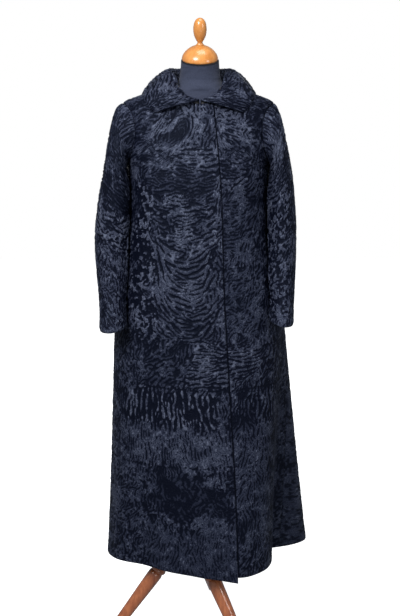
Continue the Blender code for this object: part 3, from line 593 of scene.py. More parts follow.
def pelt_look(pelts, a, v, rng):
    """Each pelt's say at every cell, later ones laid over earlier ones."""
    ragged = noise_sum(a.shape, OUTLINE_NOISE, rng)
    drift_a = noise_sum(a.shape, PLACE_NOISE, rng)
    drift_v = noise_sum(a.shape, PLACE_NOISE, rng)
    look = {}
    for pelt in pelts:
        off_a, off_v = a - pelt.a + drift_a, v - pelt.v + drift_v
        if pelt.angle is RING:
            bearing = np.arctan2(off_v, off_a) + np.pi / 2
            round_off = np.hypot(off_a / pelt.wide, off_v / pelt.tall) * 2
            inside = ease((1 - round_off) * pelt.wide / 2 / PELT_FADE + ragged / PELT_FADE + 0.5)
        else:
            side = np.clip(off_a / (pelt.wide / 2), -1, 1)
            bearing = np.radians(pelt.angle + pelt.bend * side)
            inside = ease((pelt.wide / 2 - abs(off_a) + ragged) / PELT_FADE + 0.5)
            inside = inside * ease((pelt.tall / 2 - abs(off_v) + ragged) / PELT_FADE + 0.5)
        values = {name: getattr(pelt, name) for name in ("wave", "stray", "relief", "tone", "bare")}
        values["bearing"] = np.exp(2j * bearing)
        for name, value in values.items():
            look[name] = look.get(name, value) * (1 - inside) + value * inside
    return look


def grow_ridges(bearing, wave, rng):
    """Ridges along the bearings, a wave apart, grown out of noise about 0 and 1 high."""
    shape = bearing.shape
    up = np.fft.fftfreq(shape[0], CELL)[:, None]
    along = np.fft.rfftfreq(shape[1], CELL)[None, :]
    reach, facing = np.hypot(up, along), np.arctan2(up, along)
    ridges = rng.standard_normal(shape)
    for _ in range(ROUNDS):
        heard = np.fft.rfft2(ridges)
        grown = np.zeros(shape)
        for number in range(BEARINGS):
            runs = np.pi * number / BEARINGS
            turn = (bearing - runs + np.pi / 2) % np.pi - np.pi / 2
            share = np.clip(1 - abs(turn) * BEARINGS / np.pi, 0, 1)
            aside = (facing - runs) % np.pi - np.pi / 2
            narrow = np.exp(-((aside / BAND_TURN) ** 2) / 2)
            for index, length in enumerate(WAVES):
                near = np.interp(wave, WAVES, np.eye(len(WAVES))[index])
                band = np.exp(-(((reach * length - 1) / BAND_WAVE) ** 2) / 2)
                grown += share * near * np.fft.irfft2(heard * band * narrow, shape)
        ridges = np.tanh(grown / grown.std())
    return grown / grown.std()


def seam_lines(a, v):
    """1 on the seams between rows of pelts, 0 elsewhere."""
    lines = np.zeros(a.shape)
    for height, slope, waver in PELT_SEAMS:
        level = height + slope * a + waver * np.sin(a * 55 + height * 90)
        lines = np.maximum(lines, np.exp(-(((v - level) / SEAM_HALF) ** 2)))
    return lines


def read_at(layer, column, row):
    """A layer's values between its cells."""
    left, low = column.astype(int), row.astype(int)
    right_share, up_share = column - left, row - low
    lower = layer[low, left] * (1 - right_share) + layer[low, left + 1] * right_share
    upper = layer[low + 1, left] * (1 - right_share) + layer[low + 1, left + 1] * right_share
    return lower * (1 - up_share) + upper * up_share


def curl_field(pelts, a, v, seed):
    """Curl height, its painted crest highlight, hair tone and relief at flat places."""
    rng = np.random.default_rng(seed)
    low_a, low_v = a.min() - FIELD_MARGIN, v.min() - FIELD_MARGIN
    cells_a = np.arange(low_a, a.max() + FIELD_MARGIN, CELL)
    cells_v = np.arange(low_v, v.max() + FIELD_MARGIN, CELL)
    flat_a, flat_v = np.meshgrid(cells_a, cells_v)
    shape = flat_a.shape
    look = pelt_look(pelts, flat_a, flat_v, rng)
    stray = np.radians(look["stray"])
    bearing = np.angle(look["bearing"]) / 2 + stray * noise_sum(shape, BEARING_NOISE, rng)
    wave = look["wave"] * (WAVE_SHARE + noise_sum(shape, WAVE_NOISE, rng))
    ridges = grow_ridges(bearing, np.clip(wave, WAVES[0], WAVES[-1]), rng)
    broken = soft_noise(shape, BROKEN_LENGTH, rng)
    patchy = soft_noise(shape, PATCH_LENGTH, rng)
    torn = broken * (0.12 + look["stray"] / 55)  # the more they stray, the more they break
    raised = ridges + torn + 0.40 * patchy + COVER - BARE_DEPTH * look["bare"]
    raised = raised - SEAM_DEPTH * seam_lines(flat_a, flat_v)
    # A painted highlight in a band along each curl's side, near its crest.
    painted_highlight = np.exp(-(((raised - CREST_AT) / CREST_WIDTH) ** 2))
    layers = {
        "curl": ease(raised / 1.3 + 0.5) * (0.86 + 0.10 * broken),
        "painted_crest": painted_highlight * np.clip(0.45 + 0.6 * broken, 0, 1.3),
        "tone": np.clip(look["tone"] + 0.10 * patchy, 0, 1),
        "relief": look["relief"],
    }
    column = np.clip((a - low_a) / CELL, 0, len(cells_a) - 1.001)
    row = np.clip((v - low_v) / CELL, 0, len(cells_v) - 1.001)
    return {name: read_at(layer, column, row) for name, layer in layers.items()}


# ---------------------------------------------------------------- cloth pieces
def picks(count, step):
    return np.unique(np.round(np.linspace(0, count - 1, max(3, count // step))).astype(int))


def grid_quads(index, ring):
    """The quads of a grid of vertices; a ring's last column joins its first."""
    right = np.roll(index, -1, axis=1) if ring else index[:, 1:]
    left = index if ring else index[:, :-1]
    corners = (left[:-1], right[:-1], right[1:], left[1:])
    return np.stack(corners, axis=-1).reshape(-1, 4).tolist()


def rim_fans(edge, inner_edge, picked, ring):
    """Faces that join a rim's fine vertices to the fewer ones of the inside."""
    count = len(edge)
    ends = list(picked) + ([count] if ring else [])
    fans = []
    for number, (start, end) in enumerate(zip(ends, ends[1:])):
        outside = [int(edge[i % count]) for i in range(start, end + 1)]
        inside = [int(inner_edge[(number + 1) % len(inner_edge)]), int(inner_edge[number])]
        fans.append(outside + inside)
    return fans


def cloth_mesh(name, outer, inward, flat, layers, tube):
    """A closed wall: fine and curled outside, plain inside, its rims joined by fans."""
    pick_rows, pick_columns = picks(len(outer), INSIDE_ROWS), picks(outer.shape[1], INSIDE_COLUMNS)
    if tube:
        outer, inward, flat = outer[:, :-1], inward[:, :-1], flat[:, :-1]
        layers = {name: layer[:, :-1] for name, layer in layers.items()}
        pick_columns = pick_columns[:-1]
    picked = np.ix_(pick_rows, pick_columns)
    inner = (outer + inward)[picked]
    index = np.arange(outer[..., 0].size).reshape(outer.shape[:2])
    inner_index = index.size + np.arange(inner[..., 0].size).reshape(inner.shape[:2])
    outer_faces, inner_faces = grid_quads(index, tube), grid_quads(inner_index, tube)
    rims = []
    for end in (0, -1):
        rims += rim_fans(index[end], inner_index[end], pick_columns, tube)
    for end in () if tube else (0, -1):
        rims += rim_fans(index[:, end], inner_index[:, end], pick_rows, False)
    mesh = bpy.data.meshes.new(name)
    points = np.concatenate((outer.reshape(-1, 3), inner.reshape(-1, 3)))
    mesh.from_pydata(points.tolist(), [], outer_faces + inner_faces + rims)
    slots = np.zeros(len(mesh.polygons), int)
    slots[len(outer_faces) : len(outer_faces) + len(inner_faces)] = 1
    mesh.polygons.foreach_set("material_index", slots)
    for layer_name, layer in layers.items():
        values = np.concatenate((layer.reshape(-1), np.zeros(inner_index.size)))
        attribute = mesh.attributes.new(layer_name, "FLOAT", "POINT")
        attribute.data.foreach_set("value", values.astype(np.float32))
    places = np.concatenate((flat.reshape(-1, 2), flat[picked].reshape(-1, 2)))
    corners = np.zeros(len(mesh.loops), int)
    mesh.loops.foreach_get("vertex_index", corners)
    places = places[corners].astype(np.float32)
    mesh.uv_layers.new(name="flat").data.foreach_set("uv", places.ravel())
    shaped = bmesh.new()
    shaped.from_mesh(mesh)
    bmesh.ops.recalc_face_normals(shaped, faces=shaped.faces)
    if shaped.calc_volume(signed=True) < 0:
        bmesh.ops.reverse_faces(shaped, faces=shaped.faces)
    shaped.to_mesh(mesh)
    shaped.free()
    mesh.shade_smooth()
    return mesh


def edge_inset(count, first, last):
    """How far in the rows or columns next to each end lie, as shares of the wall."""
    inset = np.zeros(count)
    inset[: len(first)] = first
    inset[-len(last) :] = last[::-1]
    return inset


def add_cloth(name, base, normals, flat, pelts, seed, wall, edges, quiet=1.0, tube=False):
    """A piece of the coat: its curl raised on the fine base. Edges are how its first and
    last rows and columns round in, quiet how much of its curl shows at each place; where
    quiet is low its colour also goes dark, as painted shadow.
    """
    field = curl_field(pelts, flat[..., 0], flat[..., 1], seed)
    lift = (CURL_HEIGHT * field["relief"] * field["curl"] - CURL_SINK) * quiet
    low, high, first, last = edges
    down = edge_inset(base.shape[0], low, high)
    across = np.zeros(base.shape[1]) if tube else edge_inset(base.shape[1], first, last)
    inset = np.maximum.outer(down, across)
    lift = np.where(inset > 0, -wall * inset, lift)
    outer = base + normals * lift[..., None] + np.array(AXIS)
    inward = -normals * (wall + lift)[..., None]
    # Where quiet is low the curl and crest colours go dark: painted shadow beside the upper front's
    # edge.
    layers = {name: field[name] * quiet for name in ("curl", "painted_crest")}
    layers["tone"] = field["tone"]
    mesh = cloth_mesh(name, outer, inward, flat, layers, tube)
    piece = add_piece(name, mesh, FUR)
    mesh.materials.append(LINING)
    return piece


def add_panel(
    name, left, front, pelts, seed, fine, inner, inner_top_x,
    drop=0.0, last=SEAM_EDGE, lift=None, quiet=None,
):
    """A panel of the coat's body: last is how its last column's edge rounds in, lift how
    far it stands off the shell, and the others are half_panel's and add_cloth's.
    """
    turn, z = half_panel(left, front, inner, inner_top_x, drop)
    if not left:
        turn, z = turn[:, ::-1], z[:, ::-1]
    row_keys = z.mean(axis=1)
    counts = [FINE_LOWER] * LOWER_ROWS + [FINE_UPPER] * UPPER_ROWS
    turn, z = refined(turn, row_keys, counts, fine), refined(z, row_keys, counts, fine)
    normals = shell_normal(turn, z)
    base = shell(turn, z)
    if lift is not None:
        base = base + normals * lift(turn, z)[..., None]
    base[..., 1] += -SEAM / 2 if front else SEAM / 2
    start = [0 if left else -1]
    along = run_lengths(base, 1)
    a = base[:, start, 0] + along - along[:, start]
    up = run_lengths(base, 0)
    v = ARMPIT_Z + up - up[FINE_LOWER * LOWER_ROWS]
    flat = np.stack((a, v), axis=-1)
    edges = (FREE_EDGE, SEAM_EDGE, SEAM_EDGE, last)
    hush = 1.0 if quiet is None else quiet(turn, z)
    return add_cloth(name, base, normals, flat, pelts, seed, WALL, edges, hush)


def under_the_lap(turn, z):
    """The under front lies plain, and dark as a painted shadow of the upper front, up to just past
    that front's edge.
    """
    start, fade = 0.4, 1.2  # degrees past the edge
    return ease((turn - upper_edge(z) - start) / fade)


def add_sleeve(name, rings, left, pelts, seed):
    keys = np.arange(len(rings), dtype=float)
    counts = [FINE_SLEEVE[0]] * (len(rings) - 1)
    grid = refined_ring(sleeve_grid(rings, left), keys, counts, FINE_SLEEVE[1])
    normals = tube_normals(grid)
    middle = grid.mean(axis=1, keepdims=True)
    normals *= np.sign(((grid - middle) * normals).sum())
    along, down = run_lengths(grid, 1), run_lengths(grid, 0)
    over = [along.shape[1] // 2]
    a = along - along[:, over]
    v = SHOULDER_TIP_Z - down[:, over] * np.ones(a.shape)
    flat = np.stack((a, v), axis=-1)
    edges = (SEAM_EDGE, FREE_EDGE, (), ())
    return add_cloth(name, grid, normals, flat, pelts, seed, WALL, edges, tube=True)


def add_collar():
    half = np.concatenate(((COLLAR[0].turn,), neck_steps(NECK_STEP, 180)))
    stations = np.concatenate((half, 360 - half[-2::-1]))
    ups, downs, seam_ways = zip(*(collar_path(station) for station in stations))
    up, down = np.array(ups), np.array(downs)
    over_lap = np.exp(-((down[..., 0] / COLLAR_LAP) ** 2)) * (down[..., 1] < 0)
    clear = COLLAR_CLEAR + COLLAR_WALL / 2 + OVERLAP_LIFT * over_lap
    down[:, 1:] = stood_off(down[:, 1:], clear[:, 1:], COLLAR_SPAN)
    middle = np.concatenate((up, down[:, 1:]), axis=1)
    along, over = np.gradient(middle, axis=0), np.gradient(middle, axis=1)
    normal = unit(np.cross(over, along))
    normal[:, 0] = -np.array(seam_ways)
    fine = (np.arange(len(stations), dtype=float), [FINE_COLLAR[0]] * (len(stations) - 1))
    middle = refined(middle, *fine, FINE_COLLAR[1])
    normal = unit(refined(normal, *fine, FINE_COLLAR[1]))
    outer = middle + normal * COLLAR_WALL / 2
    roll = STAND_STEPS * FINE_COLLAR[1]
    round_neck, over = run_lengths(outer, 0), run_lengths(outer, 1)
    a = round_neck[:, [roll]] - round_neck[len(outer) // 2, roll]
    flat = np.stack((a * np.ones(over.shape), over), axis=-1)
    edges = (FREE_EDGE, FREE_EDGE, SEAM_EDGE, FREE_EDGE)
    cloth = (COLLAR_PELTS, SEED + 6, COLLAR_WALL, edges)
    return add_cloth("fur_collar", outer, normal, flat, *cloth)


# ---------------------------------------------------------------- dress form and stand
FORM_CLEAR = 0.0066  # the form's shoulders lie this far inside the coat's outer face
FORM_SLACK = 0.012  # and its chest and back this much further
FORM_SIDES = 28
FORM_FINE = 4
RIM = 0.004  # rounding at the foot of the form
JERSEY_SHARP, WOOD_SHARP = math.radians(40), math.radians(42)  # edges that stay sharp
FormRing = namedtuple("FormRing", "z side front back middle slope")
TORSO = table(
    FormRing,
    (0.800, 0.150, 0.100, 0.112, 0.004, 0.0),
    (0.850, 0.160, 0.104, 0.120, 0.004, 0.0),
    (0.920, 0.163, 0.105, 0.118, 0.004, 0.0),
    (1.000, 0.146, 0.098, 0.102, 0.003, 0.0),
    (1.080, 0.122, 0.092, 0.088, 0.002, 0.0),
    (1.160, 0.128, 0.100, 0.090, 0.000, 0.0),
    (1.260, 0.148, 0.120, 0.101, 0.000, 0.0),
    (1.330, 0.157, 0.119, 0.106, 0.000, 0.0),
    (1.400, 0.168, 0.104, 0.112, 0.000, 0.0),
    (1.450, 0.178, 0.094, 0.107, 0.000, 0.0),
    (1.485, 0.182, 0.086, 0.100, 0.000, 0.0),
)
SHOULDER_LEVELS = (1.506, 1.512, 1.519, 1.528, 1.539)
NECK = table(
    FormRing,
    (1.549, 0.064, 0.060, 0.062, 0.002, 0.02),
    (1.562, 0.057, 0.053, 0.055, 0.001, 0.08),
    (1.580, 0.0525, 0.050, 0.052, 0.000, 0.18),
    (1.600, 0.0505, 0.049, 0.050, -0.002, 0.28),
    (1.615, 0.0495, 0.049, 0.049, -0.004, 0.31),
)

Turned = namedtuple("Turned", "radius height")
CAP_PROFILE = table(
    Turned,
    (0.007, 0.04), (0.0105, 0.0386), (0.015, 0.0362), (0.0245, 0.0322), (0.036, 0.024),
    (0.0445, 0.0135), (0.0475, 0.0055), (0.0476, 0.0018), (0.0465, 0.0),
)
FINIAL_PROFILE = table(
    Turned,
    (0.0012, 0.068), (0.006, 0.0667), (0.0115, 0.062), (0.0155, 0.054), (0.0174, 0.043),
    (0.0172, 0.033), (0.015, 0.022), (0.0105, 0.012), (0.0068, 0.0058), (0.0082, 0.0018),
    (0.0104, -0.0006),
)
STAND_X = -0.028  # the pole stands this far to the wearer's right
FORK_Z = 0.308  # where the legs' lines meet in the hub
SPLAY = math.radians(37.4)
LEG_TURNS = (42.5, 162.5, -77.5)
LEG_PROFILE = table(
    Turned,
    (0.0134, 0.044), (0.0146, 0.0475), (0.0165, 0.056), (0.019, 0.085), (0.0176, 0.115),
    (0.0151, 0.1385), (0.016, 0.1425), (0.0205, 0.148), (0.0226, 0.154), (0.0206, 0.1598),
    (0.0172, 0.1622), (0.0196, 0.1662), (0.0205, 0.18), (0.0185, 0.25), (0.016, 0.33),
    (0.0145, 0.415),
)
HUB_PROFILE = table(
    Turned,
    (0.0196, 0.352), (0.0222, 0.3512), (0.0239, 0.346), (0.0244, 0.338), (0.036, 0.3302),
    (0.0448, 0.318), (0.047, 0.306), (0.0462, 0.287), (0.01, 0.259),
)
POLE_PROFILE = table(
    Turned,
    (0.0163, 0.802), (0.0165, 0.798), (0.0165, 0.37), (0.0172, 0.356), (0.0182, 0.35),
)
LATHE_SIDES = 64
LATHE_FINE = 4  # fine rings to each of a profile's


def add_piece(name, mesh, finish):
    piece = bpy.data.objects.new(name, mesh)
    bpy.context.scene.collection.objects.link(piece)
    mesh.materials.append(finish)
    return piece


def form_ring(ring, turn):
    x = ring.side * np.sin(turn)
    reach = np.where(np.cos(turn) > 0, ring.front, ring.back)
    y = ring.middle - reach * np.cos(turn)
    return np.stack((x, y, ring.z + ring.slope * (y - ring.middle)), axis=-1)


def add_form():
    """Torso and neck, with rounded rims to the base and under the cap."""
    degrees = np.linspace(-180, 180, FORM_SIDES + 1)
    rings = [form_ring(ring, np.radians(degrees)) for ring in TORSO]
    inside = FORM_CLEAR + FORM_SLACK * np.cos(np.radians(degrees))[:, None] ** 2
    for level in SHOULDER_LEVELS:
        rings.append(shell(degrees, level) - shell_normal(degrees, level) * inside)
    rings += [form_ring(ring, np.radians(degrees)) for ring in NECK]
    grid = np.array(rings)
    keys = run_lengths(grid, 0)[:, FORM_SIDES // 4]
    grid = refined_ring(grid, keys, [FORM_FINE] * (len(rings) - 1), FORM_FINE)[:, :-1]
    foot, crown = grid[0].copy(), grid[-1].copy()
    under = foot.mean(axis=0)
    over = crown.mean(axis=0)
    grid[0] += (0, 0, RIM)
    grid[-1] -= (0, 0, RIM / 3)
    below = [under + (foot - under) * inset for inset in (0.970, 0.992)]
    below[1] += (0, 0, RIM / 4)
    grid = np.concatenate((below, grid, [over + (crown - over) * 0.965]))
    index = np.arange(grid[..., 0].size).reshape(grid.shape[:2])
    faces = grid_quads(index, True) + [index[0, ::-1].tolist(), index[-1].tolist()]
    mesh = bpy.data.meshes.new("form_jersey")
    mesh.from_pydata((grid + np.array(AXIS)).reshape(-1, 3).tolist(), [], faces)
    mesh.shade_smooth()
    mesh.set_sharp_from_angle(angle=JERSEY_SHARP)
    return add_piece("form_jersey", mesh, JERSEY)


def turned_piece(name, profile, placed, finish):
    """A piece as a lathe cuts it: a disc drawn out ring by ring along its axis."""
    heights = np.arange(len(profile), dtype=float)
    rings = np.array(profile)
    rings = drawn_through(rings, heights, fine_steps(heights, [LATHE_FINE] * (len(profile) - 1)))
    bpy.ops.object.select_all(action="DESELECT")
    radius, height = rings[0]
    bpy.ops.mesh.primitive_circle_add(
        vertices=LATHE_SIDES, radius=radius, fill_type="NGON", location=(0, 0, 0)
    )
    piece = bpy.context.active_object
    piece.name = piece.data.name = name
    bpy.ops.object.mode_set(mode="EDIT")
    bpy.ops.mesh.select_all(action="SELECT")
    bpy.ops.transform.translate(value=(0, 0, height))
    for wider, lower in rings[1:]:
        bpy.ops.mesh.extrude_region_move(
            TRANSFORM_OT_translate={"value": (0, 0, lower - height)}
        )
        bpy.ops.transform.resize(
            value=(wider / radius, wider / radius, 1), center_override=(0, 0, lower)
        )
        radius, height = wider, lower
    bpy.ops.mesh.select_all(action="SELECT")
    bpy.ops.mesh.normals_make_consistent(inside=False)
    bpy.ops.object.mode_set(mode="OBJECT")
    piece.data.transform(Matrix.Translation(AXIS) @ placed)
    piece.data.materials.append(finish)
    piece.data.shade_smooth()
    piece.data.set_sharp_from_angle(angle=WOOD_SHARP)
    return piece


# ---------------------------------------------------------------- the pelts
# Across is from the centre line, or from a sleeve's outer line; up is the height that the
# cloth would have if it hung straight from the armpit's level.
FRONT_RIGHT_PELTS = table(
    Pelt,
    (0.0, 0.80, 3.0, 3.0, 78, 0, 0.0085, 34, 0.80, 0.48, 0.10),
    # chest and shoulder
    (-0.15, 1.46, 0.12, 0.20, 20, -30, 0.0095, 30, 0.90, 0.50, 0.12),
    (-0.0680, 1.464, 0.140, 0.130, RING, 0, 0.0095, 8, 1.10, 0.92, -0.06),
    (-0.0680, 1.464, 0.096, 0.086, RING, 0, 0.0095, 14, 0.60, 0.10, 0.38),
    (0.0120, 1.452, 0.034, 0.044, RING, 0, 0.0080, 10, 0.90, 0.14, 0.30),
    (-0.012, 1.470, 0.040, 0.070, 70, 30, 0.0085, 25, 1.00, 0.85, 0.04),
    (-0.120, 1.395, 0.070, 0.100, -50, 0, 0.0090, 18, 0.90, 0.55, 0.15),
    (-0.010, 1.350, 0.150, 0.085, 0, 45, 0.0120, 14, 1.10, 0.72, 0.10),
    (-0.060, 1.292, 0.190, 0.055, 5, 12, 0.0095, 16, 0.90, 0.28, 0.22),
    # waist and hip
    (-0.043, 1.230, 0.200, 0.070, 0, 40, 0.0110, 20, 1.10, 0.62, 0.12),
    (-0.043, 1.150, 0.180, 0.060, 0, 50, 0.0095, 24, 0.95, 0.58, 0.14),
    (-0.044, 1.045, 0.155, 0.170, 0, 80, 0.0155, 6, 1.30, 0.70, 0.02),
    (-0.043, 0.925, 0.170, 0.090, 0, 60, 0.0110, 14, 1.15, 0.54, 0.14),
    (-0.044, 1.130, 0.015, 0.270, 0, 20, 0.0075, 5, 1.20, 0.98, -0.04),
    (0.049, 1.360, 0.011, 0.240, 84, 0, 0.0075, 20, 1.10, 0.86, -0.05),
    (0.057, 1.140, 0.011, 0.240, 84, 0, 0.0075, 20, 1.10, 0.86, -0.05),
    (0.065, 0.950, 0.011, 0.180, 84, 0, 0.0075, 20, 1.00, 0.70, 0.00),
    (-0.160, 1.080, 0.060, 0.370, 70, 0, 0.0085, 80, 1.00, 0.86, 0.42),
    (0.030, 0.820, 0.120, 0.125, 2, 14, 0.0085, 16, 1.00, 0.75, 0.10),
    (-0.100, 0.820, 0.130, 0.125, 50, 20, 0.0100, 24, 0.90, 0.36, 0.16),
    # skirt
    (-0.100, 0.702, 0.275, 0.105, 90, 8, 0.0155, 8, 1.10, 0.82, 0.32),
    (-0.080, 0.593, 0.330, 0.110, 94, 12, 0.0090, 8, 0.55, 0.66, -0.16),
    (-0.045, 0.462, 0.170, 0.125, 88, 10, 0.0110, 30, 0.14, 0.04, 0.42),
    (0.045, 0.508, 0.070, 0.050, 88, 10, 0.0110, 12, 0.80, 0.70, -0.02),
    (0.035, 0.432, 0.120, 0.085, 88, 0, 0.0110, 30, 0.14, 0.04, 0.42),
    (-0.010, 0.290, 0.320, 0.170, 90, 12, 0.0082, 16, 0.50, 0.42, -0.12),
    (-0.205, 0.430, 0.110, 0.230, 80, 0, 0.0078, 30, 0.70, 0.50, 0.02),
)
FRONT_LEFT_PELTS = table(
    Pelt,
    (0.0, 0.80, 3.0, 3.0, 66, 0, 0.0085, 34, 0.80, 0.50, 0.10),
    (0.100, 1.470, 0.110, 0.100, 10, 40, 0.0100, 18, 1.00, 0.86, 0.02),
    (0.155, 1.450, 0.075, 0.075, RING, 0, 0.0085, 14, 0.90, 0.82, 0.02),
    (0.140, 1.385, 0.090, 0.070, 70, 20, 0.0085, 20, 0.95, 0.55, 0.14),
    (0.070, 1.320, 0.120, 0.110, 0, 50, 0.0110, 18, 1.10, 0.55, 0.14),
    (0.090, 1.180, 0.120, 0.160, 12, 40, 0.0080, 34, 0.80, 0.44, 0.00),
    (0.090, 1.000, 0.120, 0.180, 30, 40, 0.0078, 40, 0.80, 0.46, 0.00),
    (0.110, 0.820, 0.090, 0.080, 2, 16, 0.0085, 14, 1.00, 0.66, 0.10),
    (0.130, 0.700, 0.180, 0.100, 82, 12, 0.0110, 18, 0.90, 0.40, 0.32),
    (0.130, 0.470, 0.190, 0.360, 86, 10, 0.0085, 20, 0.40, 0.56, -0.18),
    (0.115, 0.520, 0.034, 0.034, RING, 0, 0.0080, 10, 0.60, 0.50, 0.10),
    (0.118, 0.345, 0.028, 0.100, 88, 0, 0.0090, 14, 0.50, 0.12, 0.30),
    (0.270, 0.540, 0.120, 0.320, 84, 0, 0.0085, 30, 0.60, 0.34, 0.08),
)
BACK_PELTS = table(
    Pelt,
    (0.0, 0.80, 3.0, 3.0, 84, 0, 0.0085, 30, 0.80, 0.50, 0.12),
    (0.0, 1.440, 0.300, 0.120, 0, 60, 0.0110, 18, 1.00, 0.55, 0.12),
    (0.0, 1.280, 0.260, 0.170, 0, 55, 0.0120, 16, 1.15, 0.56, 0.14),
    (0.0, 1.080, 0.240, 0.200, 0, 50, 0.0110, 18, 1.10, 0.52, 0.14),
    (0.0, 0.870, 0.300, 0.190, 0, 60, 0.0100, 20, 1.00, 0.50, 0.16),
    (0.0, 1.100, 0.030, 0.640, 0, 20, 0.0075, 12, 1.00, 0.55, 0.10),
    (-0.200, 0.640, 0.180, 0.200, 84, 8, 0.0115, 18, 0.90, 0.56, 0.32),
    (0.170, 0.620, 0.200, 0.220, 88, 8, 0.0100, 18, 0.85, 0.50, 0.26),
    (0.0, 0.590, 0.160, 0.240, 90, 10, 0.0085, 16, 0.80, 0.58, 0.10),
    (0.0, 0.350, 0.900, 0.220, 90, 6, 0.0080, 18, 0.70, 0.52, 0.08),
    (0.400, 0.520, 0.300, 0.620, 84, 0, 0.0085, 26, 0.55, 0.42, -0.04),
)
RIGHT_SLEEVE_PELTS = table(
    Pelt,
    (0.0, 1.20, 3.0, 3.0, 80, 0, 0.0085, 32, 0.80, 0.56, 0.12),
    (-0.060, 1.410, 0.240, 0.110, 20, 30, 0.0095, 24, 0.90, 0.42, 0.20),
    (-0.060, 1.305, 0.240, 0.085, 4, 20, 0.0090, 18, 0.90, 0.26, 0.34),
    (-0.060, 1.200, 0.240, 0.120, 0, 60, 0.0130, 22, 1.20, 0.86, 0.10),
    (0.120, 1.200, 0.140, 0.500, 10, 50, 0.0105, 24, 1.00, 0.56, 0.14),
    (-0.040, 1.010, 0.300, 0.240, 80, 16, 0.0080, 34, 0.75, 0.68, 0.10),
)
LEFT_SLEEVE_PELTS = table(
    Pelt,
    (0.0, 1.20, 3.0, 3.0, 80, 0, 0.0085, 34, 0.80, 0.60, 0.14),
    (-0.060, 1.435, 0.240, 0.080, 30, 40, 0.0105, 24, 1.05, 0.82, 0.12),
    (-0.060, 1.345, 0.240, 0.100, 2, 30, 0.0095, 16, 1.00, 0.62, 0.16),
    (-0.120, 1.120, 0.110, 0.350, 75, 0, 0.0085, 80, 1.00, 0.72, 0.30),
    (0.120, 1.200, 0.140, 0.500, 10, 50, 0.0105, 24, 1.00, 0.62, 0.14),
    (-0.010, 1.080, 0.120, 0.420, 84, 10, 0.0080, 30, 0.75, 0.64, 0.12),
)
COLLAR_PELTS = table(
    Pelt,
    (0.0, 0.06, 3.0, 3.0, 84, 0, 0.0085, 26, 0.90, 0.52, 0.12),
    (0.160, 0.060, 0.140, 0.200, 8, 20, 0.0100, 14, 1.10, 0.72, 0.10),
    (0.0, 0.060, 0.160, 0.200, 90, 30, 0.0090, 16, 0.95, 0.52, 0.12),
    (-0.160, 0.060, 0.140, 0.200, 30, 20, 0.0080, 26, 0.90, 0.58, 0.10),
)


# ---------------------------------------------------------------- finishes
class Finish:
    """A node material, with short ways to add and join its nodes."""

    def __init__(self, name):
        self.material = bpy.data.materials.new(name)
        self.material.use_nodes = True
        self.tree = self.material.node_tree
        self.shader = self.tree.nodes["Principled BSDF"]

    def node(self, kind, settings=None, **inputs):
        made = self.tree.nodes.new(kind)
        for key, value in (settings or {}).items():
            setattr(made, key, value)
        self.put(made, **inputs)
        return made

    def put(self, made, **inputs):
        """Values or links by socket: Base_Color is its name, i0 its number."""
        for key, value in inputs.items():
            socket = made.inputs[int(key[1:]) if key[1:].isdigit() else key.replace("_", " ")]
            if isinstance(value, bpy.types.NodeSocket):
                self.tree.links.new(value, socket)
            else:
                socket.default_value = value

    def done(self, **inputs):
        self.put(self.shader, **inputs)
        return self.material

    def attribute(self, name):
        return self.node("ShaderNodeAttribute", {"attribute_name": name}).outputs["Fac"]

    def scaled(self, place, scale):
        return self.node("ShaderNodeMapping", i0=place, i3=scale).outputs[0]

    def flat(self, scale):
        return self.scaled(self.node("ShaderNodeUVMap", {"uv_map": "flat"}).outputs[0], scale)

    def solid(self, scale):
        return self.scaled(self.node("ShaderNodeTexCoord").outputs["Object"], scale)

    def noise(self, place, detail=3.0, rough=0.55, twist=0.0):
        looks = {"Detail": detail, "Roughness": rough, "Distortion": twist}
        return self.node("ShaderNodeTexNoise", Vector=place, Scale=1.0, **looks).outputs["Fac"]

    def range(self, value, low, high, to_low, to_high):
        ends = {"i1": low, "i2": high, "i3": to_low, "i4": to_high}
        return self.node("ShaderNodeMapRange", i0=value, **ends).outputs[0]

    def math(self, operation, first, second=0.0):
        settings = {"operation": operation}
        return self.node("ShaderNodeMath", settings, i0=first, i1=second).outputs[0]

    def times(self, first, second):
        return self.math("MULTIPLY", first, second)

    def ramp(self, value, *stops):
        made = self.node("ShaderNodeValToRGB", Fac=value)
        while len(made.color_ramp.elements) < len(stops):
            made.color_ramp.elements.new(0.5)
        for element, (place, colour) in zip(made.color_ramp.elements, stops):
            element.position = place
            element.color = (*colour, 1)
        return made.outputs[0]

    def bump(self, height, distance, strength=1.0, **under):
        looks = {"Height": height, "Distance": distance, "Strength": strength}
        return self.node("ShaderNodeBump", **looks, **under).outputs[0]


